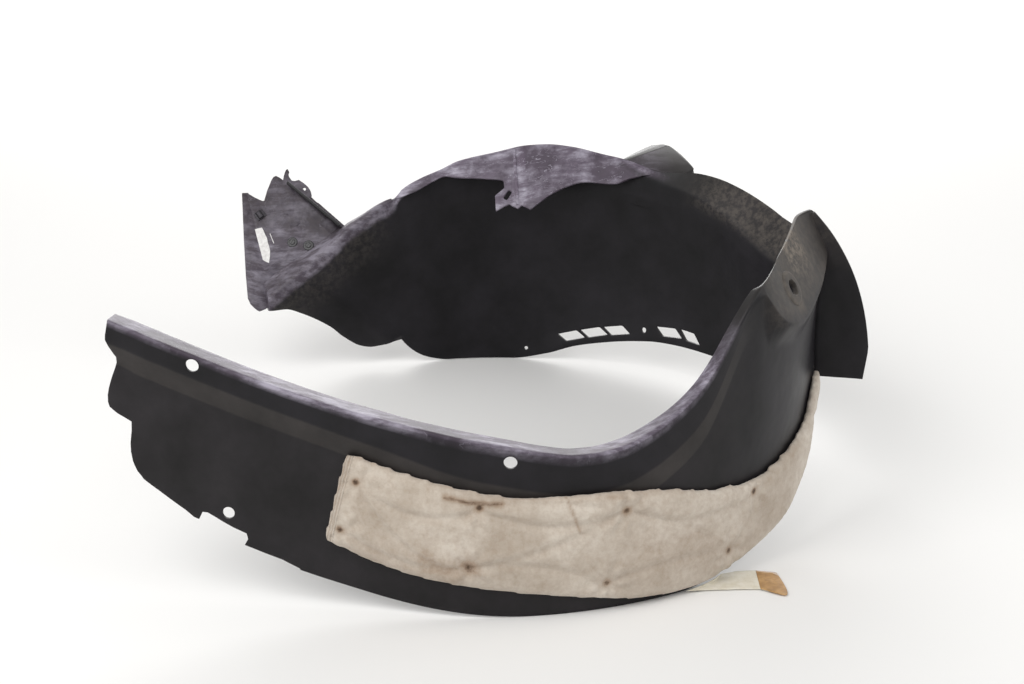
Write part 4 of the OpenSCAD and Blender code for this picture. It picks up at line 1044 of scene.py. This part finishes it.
def wallAt(t, z, table):
    stations, heights, values = table
    i = np.clip((t - stations[0]) / (stations[1] - stations[0]), 0, len(stations) - 1.001)
    k = np.clip((z - heights[0]) / (heights[1] - heights[0]), 0, len(heights) - 1.001)
    a, b = i.astype(int), k.astype(int)
    u, v = i - a, k - b
    return (values[a, b] * (1 - u) * (1 - v) + values[a + 1, b] * u * (1 - v)
            + values[a, b + 1] * (1 - u) * v + values[a + 1, b + 1] * u * v)


def runOf(t):
    # stations as millimetres along the arch
    return np.where(t < 0, t * s.nearLength, t * arcLength)


def runPoint(point):
    return (float(runOf(point[0])), point[1])


stakeSpots = [(-x, h) for x, h in stakes["near"]]
stakeSpots += [(stationOf(a) * arcLength, h) for a, h in stakes["arch"]]


def dimpleRange(x, z):
    # distance to the nearest stake, along the pad
    return np.min([np.hypot(x - across, z - h) for across, h in stakeSpots], axis=0)


def swell(piece, table):
    # padded felt by cloth pressure, held at its back and at the stakes
    start = pointsOf(piece)
    t, out = stationsOf(start)
    z = start[:, 2]
    deep = out - wallAt(t, z, table) < pad["heldDepth"]
    held = deep | (dimpleRange(runOf(t), z) < pad["heldRange"])
    group = piece.vertex_groups.new(name="held")
    group.add([int(i) for i in np.where(held)[0]], 1.0, "REPLACE")
    mod = piece.modifiers.new("swell", "CLOTH")
    cloth = mod.settings
    cloth.quality, cloth.mass = pad["quality"], pad["mass"]
    cloth.use_pressure, cloth.uniform_pressure_force = True, pad["pressure"]
    cloth.vertex_group_mass = "held"
    cloth.effector_weights.gravity = 0
    mod.point_cache.frame_start, mod.point_cache.frame_end = 1, pad["frames"]
    for frameNumber in range(1, pad["frames"] + 1):
        bpy.context.scene.frame_set(frameNumber)
    bake(piece)
    bpy.context.scene.frame_set(1)
    moved = pointsOf(piece) - start
    far = np.linalg.norm(moved, axis=1, keepdims=True)
    moved *= np.minimum(1, pad["cap"] / np.maximum(far, 1e-6))
    piece.data.vertices.foreach_set("co", ((start + moved) * mm).ravel())
    piece.vertex_groups.clear()


def lineRange(x, z, points):
    # distance to a drawn line
    best = np.full(len(x), 1e9)
    for (x1, z1), (x2, z2) in zip(points, points[1:]):
        dx, dz = x2 - x1, z2 - z1
        u = np.clip(((x - x1) * dx + (z - z1) * dz) / (dx * dx + dz * dz), 0, 1)
        best = np.minimum(best, np.hypot(x - x1 - u * dx, z - z1 - u * dz))
    return best


def shapePad(piece, table):
    # dimples at the stakes, hanging creases, soft waves and a linty edge
    where = pointsOf(piece)
    t, out = stationsOf(where)
    x, z = runOf(t), where[:, 2]
    depth = out - wallAt(t, z, table)
    front = fade(depth, 3, 7)
    near = dimpleRange(x, z)
    waves, fuzz = (np.array([noise.noise(Vector(p) / pad[size]) for p in where])
                   for size in ("waveLength", "lint"))
    target = depth + front * (pad["wave"] * waves * fade(near, 8, 30) + pad["fuzz"] * fuzz)
    for first, last, sag, deep in padCreases:
        (x1, z1), (x2, z2) = runPoint(first), runPoint(last)
        u = np.clip((x - x1) / (x2 - x1), 0, 1)
        hang = 4 * u * (1 - u)
        away = z - (z1 + (z2 - z1) * u - sag * hang)
        trough = np.exp(-(away / pad["crease"])**2)
        ridge = np.exp(-((away - pad["ridgeAt"]) / pad["ridgeWidth"])**2)
        target -= front * deep * hang**0.4 * (trough - pad["ridge"] * ridge)
    for i, (cx, cz) in enumerate(stakeSpots):
        # puckers that run out from each stake
        r, around = np.hypot(x - cx, z - cz), np.arctan2(z - cz, x - cx)
        ray = np.sin(pad["folds"] * around + pad["foldShift"] * i)
        target += front * pad["pucker"] * ray * window(r, 3, 9, 14, 34)
    target = np.minimum(target, pad["dimpleFloor"] + pad["dimpleRise"] * fade(near, 3, 24))
    target = np.clip(target, s.padGap + 0.1, s.padGap + s.padThick + pad["over"])
    # loose wadding that has worked out at the top edge
    across, up = x - pad["tuftAt"][0] * arcLength, z - pad["tuftAt"][1]
    loose = np.exp(-(across**2 + up**2) / pad["tuftSize"]**2)
    target += loose * pad["tuftRise"] * (1 + fuzz)
    move = target - depth
    lift = (1 - front * 0.6) * pad["fuzz"] * fuzz * pad["edgeLint"] + loose * pad["tuftRise"]
    for i, v in enumerate(piece.data.vertices):
        a = turnAt(t[i])
        v.co += Vector((cosD(a) * move[i], sinD(a) * move[i], lift[i])) * mm
    return x, z, near


def soilPad(piece, x, z, near):
    soil = pad["soil"] * np.exp(-(near / pad["soilRange"])**2)
    for points, width, strength in padStains:
        away = lineRange(x, z, [runPoint(p) for p in points])
        soil = np.maximum(soil, strength * np.exp(-(away / width)**2))
    setAttribute(piece, "soil", soil)
    # how far each point lies from the pad's short edge
    head, foot = pad["left"]
    high, low = along("padTop", head), along("padLow", foot)
    edge = s.nearLength * (head + (foot - head) * np.clip((high - z) / (high - low), 0, 1))
    setAttribute(piece, "selvedge", x - edge)


table = wallTable()
cushion = makePad()
swell(cushion, table)
mod = cushion.modifiers.new("finer", "SUBSURF")
mod.levels = 1
bake(cushion)
soilPad(cushion, *shapePad(cushion, table))
cushion.data.shade_smooth()
finishPiece(cushion, felt, "felt", "felt_pad")
print("Felt pad made:", len(cushion.data.vertices), "points")

rivet = dict(hole=7, headRadius=7, pinRadius=3.6, slot=0.9, slotTurn=20, slotFloor=1.7)


def addRivets(mesh):
    shank, head, pin = rivet["hole"] / 2 - 0.3, rivet["headRadius"], rivet["pinRadius"]
    profile = [(1.25, -13), (shank, -8.8), (shank, 0.3), (head - 0.5, 0.3), (head, 0.7), (head - 0.2, 1.3),
               (head - 1.4, 1.75), (head - 2.2, 1.7), (head - 2.5, 1.25), (pin + 0.3, 1.2), (pin, 1.3),
               (pin - 0.1, 2.1), (pin - 0.6, 2.5), (0.4, 2.58)]
    for spot in rivetSpots:
        addLathe(mesh, profile, pocketFrame @ shift(*spot, 0), 40)


def addCrosses(mesh):
    half, reach = rivet["slot"] / 2, rivet["pinRadius"] - 0.9
    quarter = [(half, half), (half, reach), (-half, reach)]
    plus = [(u * cosD(a) - v * sinD(a), u * sinD(a) + v * cosD(a))
            for a in (0, 90, 180, 270) for u, v in quarter]
    for spot in rivetSpots:
        addPrism(mesh, plus, rivet["slotFloor"], 4,
                 pocketFrame @ shift(*spot, 0) @ turn(z=rivet["slotTurn"]))


rivets = built("pushRivets", addRivets)
cut(rivets, built("crosses", addCrosses))
print("Rivets made:", len(rivets.data.polygons), "faces")
smooth(rivets, 35)
finishPiece(rivets, nylon, "rivet", "push_rivets")

clipShape = dict(at=(36, 78, 0), length=14, width=12, corner=1.8, low=0.3, high=1.2, edge=0.25,
                 legs=(2.7, 10.7))
clipBridge = [(3, 1), (3.2, 2.9), (4, 4), (5.2, 4.4), (8.8, 4.4), (10, 4), (10.8, 2.9), (11, 1), (10, 1),
              (9.7, 2.6), (8.6, 3.4), (5.4, 3.4), (4.3, 2.6), (4, 1)]


def addClip(mesh):
    # pressed spring clip: a base plate, an arched bridge and two barbed legs
    spot = pocketFrame @ shift(*clipShape["at"])
    plate = roundCorners(rectangle(0, 0, clipShape["length"], clipShape["width"]), clipShape["corner"])
    addPrism(mesh, plate, clipShape["low"], clipShape["high"], spot)
    addPrism(mesh, clipBridge, -11, -1, spot @ turn(x=90))
    for x, barb in zip(clipShape["legs"], (-0.35, 0.35)):
        leg = [(0, -8), (0.5, -7), (0.5 + barb, -3), (0.5, 0.9), (-0.3, 0.9), (-0.3 + barb, -3)]
        addPrism(mesh, leg, -8.4, -4.2, spot @ shift(x, 0, 0) @ turn(x=90))


clip = built("springClip", addClip)
soften(clip, clipShape["edge"], 2, 30)
smooth(clip, 40)
finishPiece(clip, springSteel, "clip", "edge_clip")

sealShape = dict(first=0.6, last=95.4, edge=0.3)
sealOutside = [(-3.2, 8.5), (-3.3, 9.6), (-3.1, 11.4), (-2.9, 12.6), (-2.2, 13.6), (-1, 14), (0.2, 13.6),
               (0.9, 12.6), (1.1, 11.4), (1.3, 9.6), (1.2, 8.5)]
sealInside = [(0.25, 8.5), (0.22, 10.2), (0.25, 12.2), (-2.25, 12.2), (-2.22, 10.2), (-2.25, 8.5)]


def addSeal(mesh):
    # extruded edging: a soft bulb over a slot that grips the pocket's ridge
    addPrism(mesh, sealOutside + sealInside, sealShape["first"], sealShape["last"],
             ridgeFrame @ turn(x=90, z=90))


seal = built("edgeSeal", addSeal)
soften(seal, sealShape["edge"], 2, 35)
smooth(seal, 45)
finishPiece(seal, rubber, "seal", "edge_seal")

# paper strip that sticks out from under the pad: each row's edges and middle as turn, reach beyond the arch
# and height
stripRows = [[(-59.19, 2.9, 3.6), (-56.31, 3, 4), (-53.34, 3.2, 6.6)],
             [(-56.35, 8.8, 1.8), (-53.16, 1.6, 2), (-50.66, -6.1, 2.4)],
             [(-52.93, 22.8, 1.6), (-50.52, 10.2, 1.8), (-48.16, -0.2, 2.4)],
             [(-49.62, 40.2, 1.6), (-47.76, 25.1, 1.8), (-45.85, 11.3, 2.2)],
             [(-48.98, 56.1, 1.6), (-46.77, 39.7, 1.6), (-44.29, 26.1, 1.8)],
             [(-48.63, 63.7, 1.6), (-47.34, 61.8, 1.6), (-43.99, 29.7, 1.6)]]
stripGrid = dict(rows=30, columns=14, crinkleLengths=(13, 9))


def stripPoint(row, across):
    # row 0 to 5, across 0 to 1, through the rows' three points
    i = min(int(row), len(stripRows) - 2)
    lines = []
    for k in (i, i + 1):
        a, b, c = (polar(*p) for p in stripRows[k])
        lines.append(a * (1 - across) * (1 - 2 * across) + b * 4 * across * (1 - across)
                     + c * across * (2 * across - 1))
    u = row - i
    return lines[0].lerp(lines[1], u * u * (3 - 2 * u) * 0.4 + u * 0.6)


def makeStrip(name, first, last, lift, thick, crinkle):
    upper, lower = [], []
    wide, deep = stripGrid["crinkleLengths"]
    for i in range(stripGrid["rows"] + 1):
        row = first + (last - first) * i / stripGrid["rows"]
        line = [stripPoint(row, k / stripGrid["columns"]) for k in range(stripGrid["columns"] + 1)]
        dips = [crinkle * (0.5 + 0.5 * noise.noise(Vector((p.x / wide, p.y / deep, 2)))) for p in line]
        for grid, under in ((upper, 0), (lower, thick)):
            grid.append([p + Vector((0, 0, lift - dip - under)) for p, dip in zip(line, dips)])
    made = built(name, lambda mesh: addSheet(mesh, upper, lower))
    made.data.shade_smooth()
    return made


# first row, last row, lift, thickness and crinkle. The tape covers the strip's free end.
strip = makeStrip("paperStrip", 0, 3.6, -0.1, 0.35, 0.5)
finishPiece(strip, paper, "strip", "strip_tail")
tape = makeStrip("tapeEnd", 3.1, 5, 0, 0.3, 0.25)
finishPiece(tape, agedTape, "strip", "strip_tail")

# what is left of a paper label on the pocket's floor
tornLabel = [[(26, 72), (30, 70.4), (35, 68), (34, 62), (32.6, 57), (32, 52), (29.6, 47), (27.6, 41),
              (25, 35), (21, 29.4), (17.4, 25.6), (14, 22), (11.4, 27), (9.6, 32), (7, 38), (10.6, 43),
              (13, 49), (16, 54), (19.6, 60), (23, 66.6)],
             [(38, 54), (39.2, 55), (35.4, 40), (34.6, 40.6)],
             [(8, 56), (9.4, 58), (15, 66), (13.6, 66)]]


def addTornLabel(mesh):
    for outline in tornLabel:
        addPrism(mesh, outline, 0.05, 0.4, pocketFrame)


torn = built("tornLabel", addTornLabel)
finishPiece(torn, labelPaper, "strip")
print("Clip, seal, strip and label made")

photo = dict(place=(-1.43, -1848.0, 800), pitch=19.4, focal=1700, width=1024, sensor=36)
cameraData = bpy.data.cameras.new("camera")
cameraData.sensor_width = photo["sensor"]
cameraData.lens = photo["sensor"] * photo["focal"] / photo["width"]
camera = bpy.data.objects.new("camera", cameraData)
camera.location = Vector(photo["place"]) * mm
camera.rotation_euler = (math.radians(90 - photo["pitch"]), 0, 0)
bpy.context.scene.collection.objects.link(camera)
bpy.context.scene.camera = camera

lamps = dict(key=dict(at=(-1.1, -1.5, 2.0), power=38, size=1.8),
             fill=dict(at=(1.9, -0.8, 1.4), power=12, size=1.6),
             back=dict(at=(0, 4.4, 1.9), power=150, size=3.4))
lampAim = Vector((0, 0, 0.15))
for name, lamp in lamps.items():
    light = bpy.data.lights.new(name, "AREA")
    light.energy, light.size = lamp["power"], lamp["size"]
    holder = bpy.data.objects.new(name, light)
    holder.location = lamp["at"]
    holder.rotation_euler = (lampAim - Vector(lamp["at"])).to_track_quat("-Z", "Y").to_euler()
    bpy.context.scene.collection.objects.link(holder)

studio = dict(floor="#f0efed", floorRoughness=0.9, floorSize=6, floorDrop=0.5, worldLight=0.5)


def paleWorld():
    # white for what the camera, a reflection or a clear piece sees, softer as a light
    world = bpy.data.worlds.new("studio")
    world.use_nodes = True
    world.node_tree.nodes.clear()
    path = add(world, "LightPath").outputs
    seen = path["Is Camera Ray"]
    for ray in ("Is Glossy Ray", "Is Transmission Ray"):
        seen = add(world, "Math", {"operation": "MAXIMUM"}, {0: seen, 1: path[ray]})
    strength = add(world, "MapRange", {"To Min": studio["worldLight"], "To Max": 1}, {0: seen})
    back = add(world, "Background", {"Color": (1, 1, 1, 1)}, {"Strength": strength})
    add(world, "OutputWorld", {}, {0: back})
    bpy.context.scene.world = world


paleWorld()
bpy.context.scene.view_settings.view_transform = "Standard"
floorMesh = bmesh.new()
bmesh.ops.create_grid(floorMesh, x_segments=1, y_segments=1, size=studio["floorSize"])
ground = makeObject("floor", floorMesh, 1)
ground.location.z = -studio["floorDrop"] * mm
groundPaper = newMaterial("paleStudioPaper")  # matt seamless paper
groundShader = add(groundPaper, "BsdfPrincipled",
                   {"Base Color": colour(studio["floor"]), "Roughness": studio["floorRoughness"]})
add(groundPaper, "OutputMaterial", {}, {0: groundShader})
ground.data.materials.append(groundPaper)
print("Camera, lights and floor made")
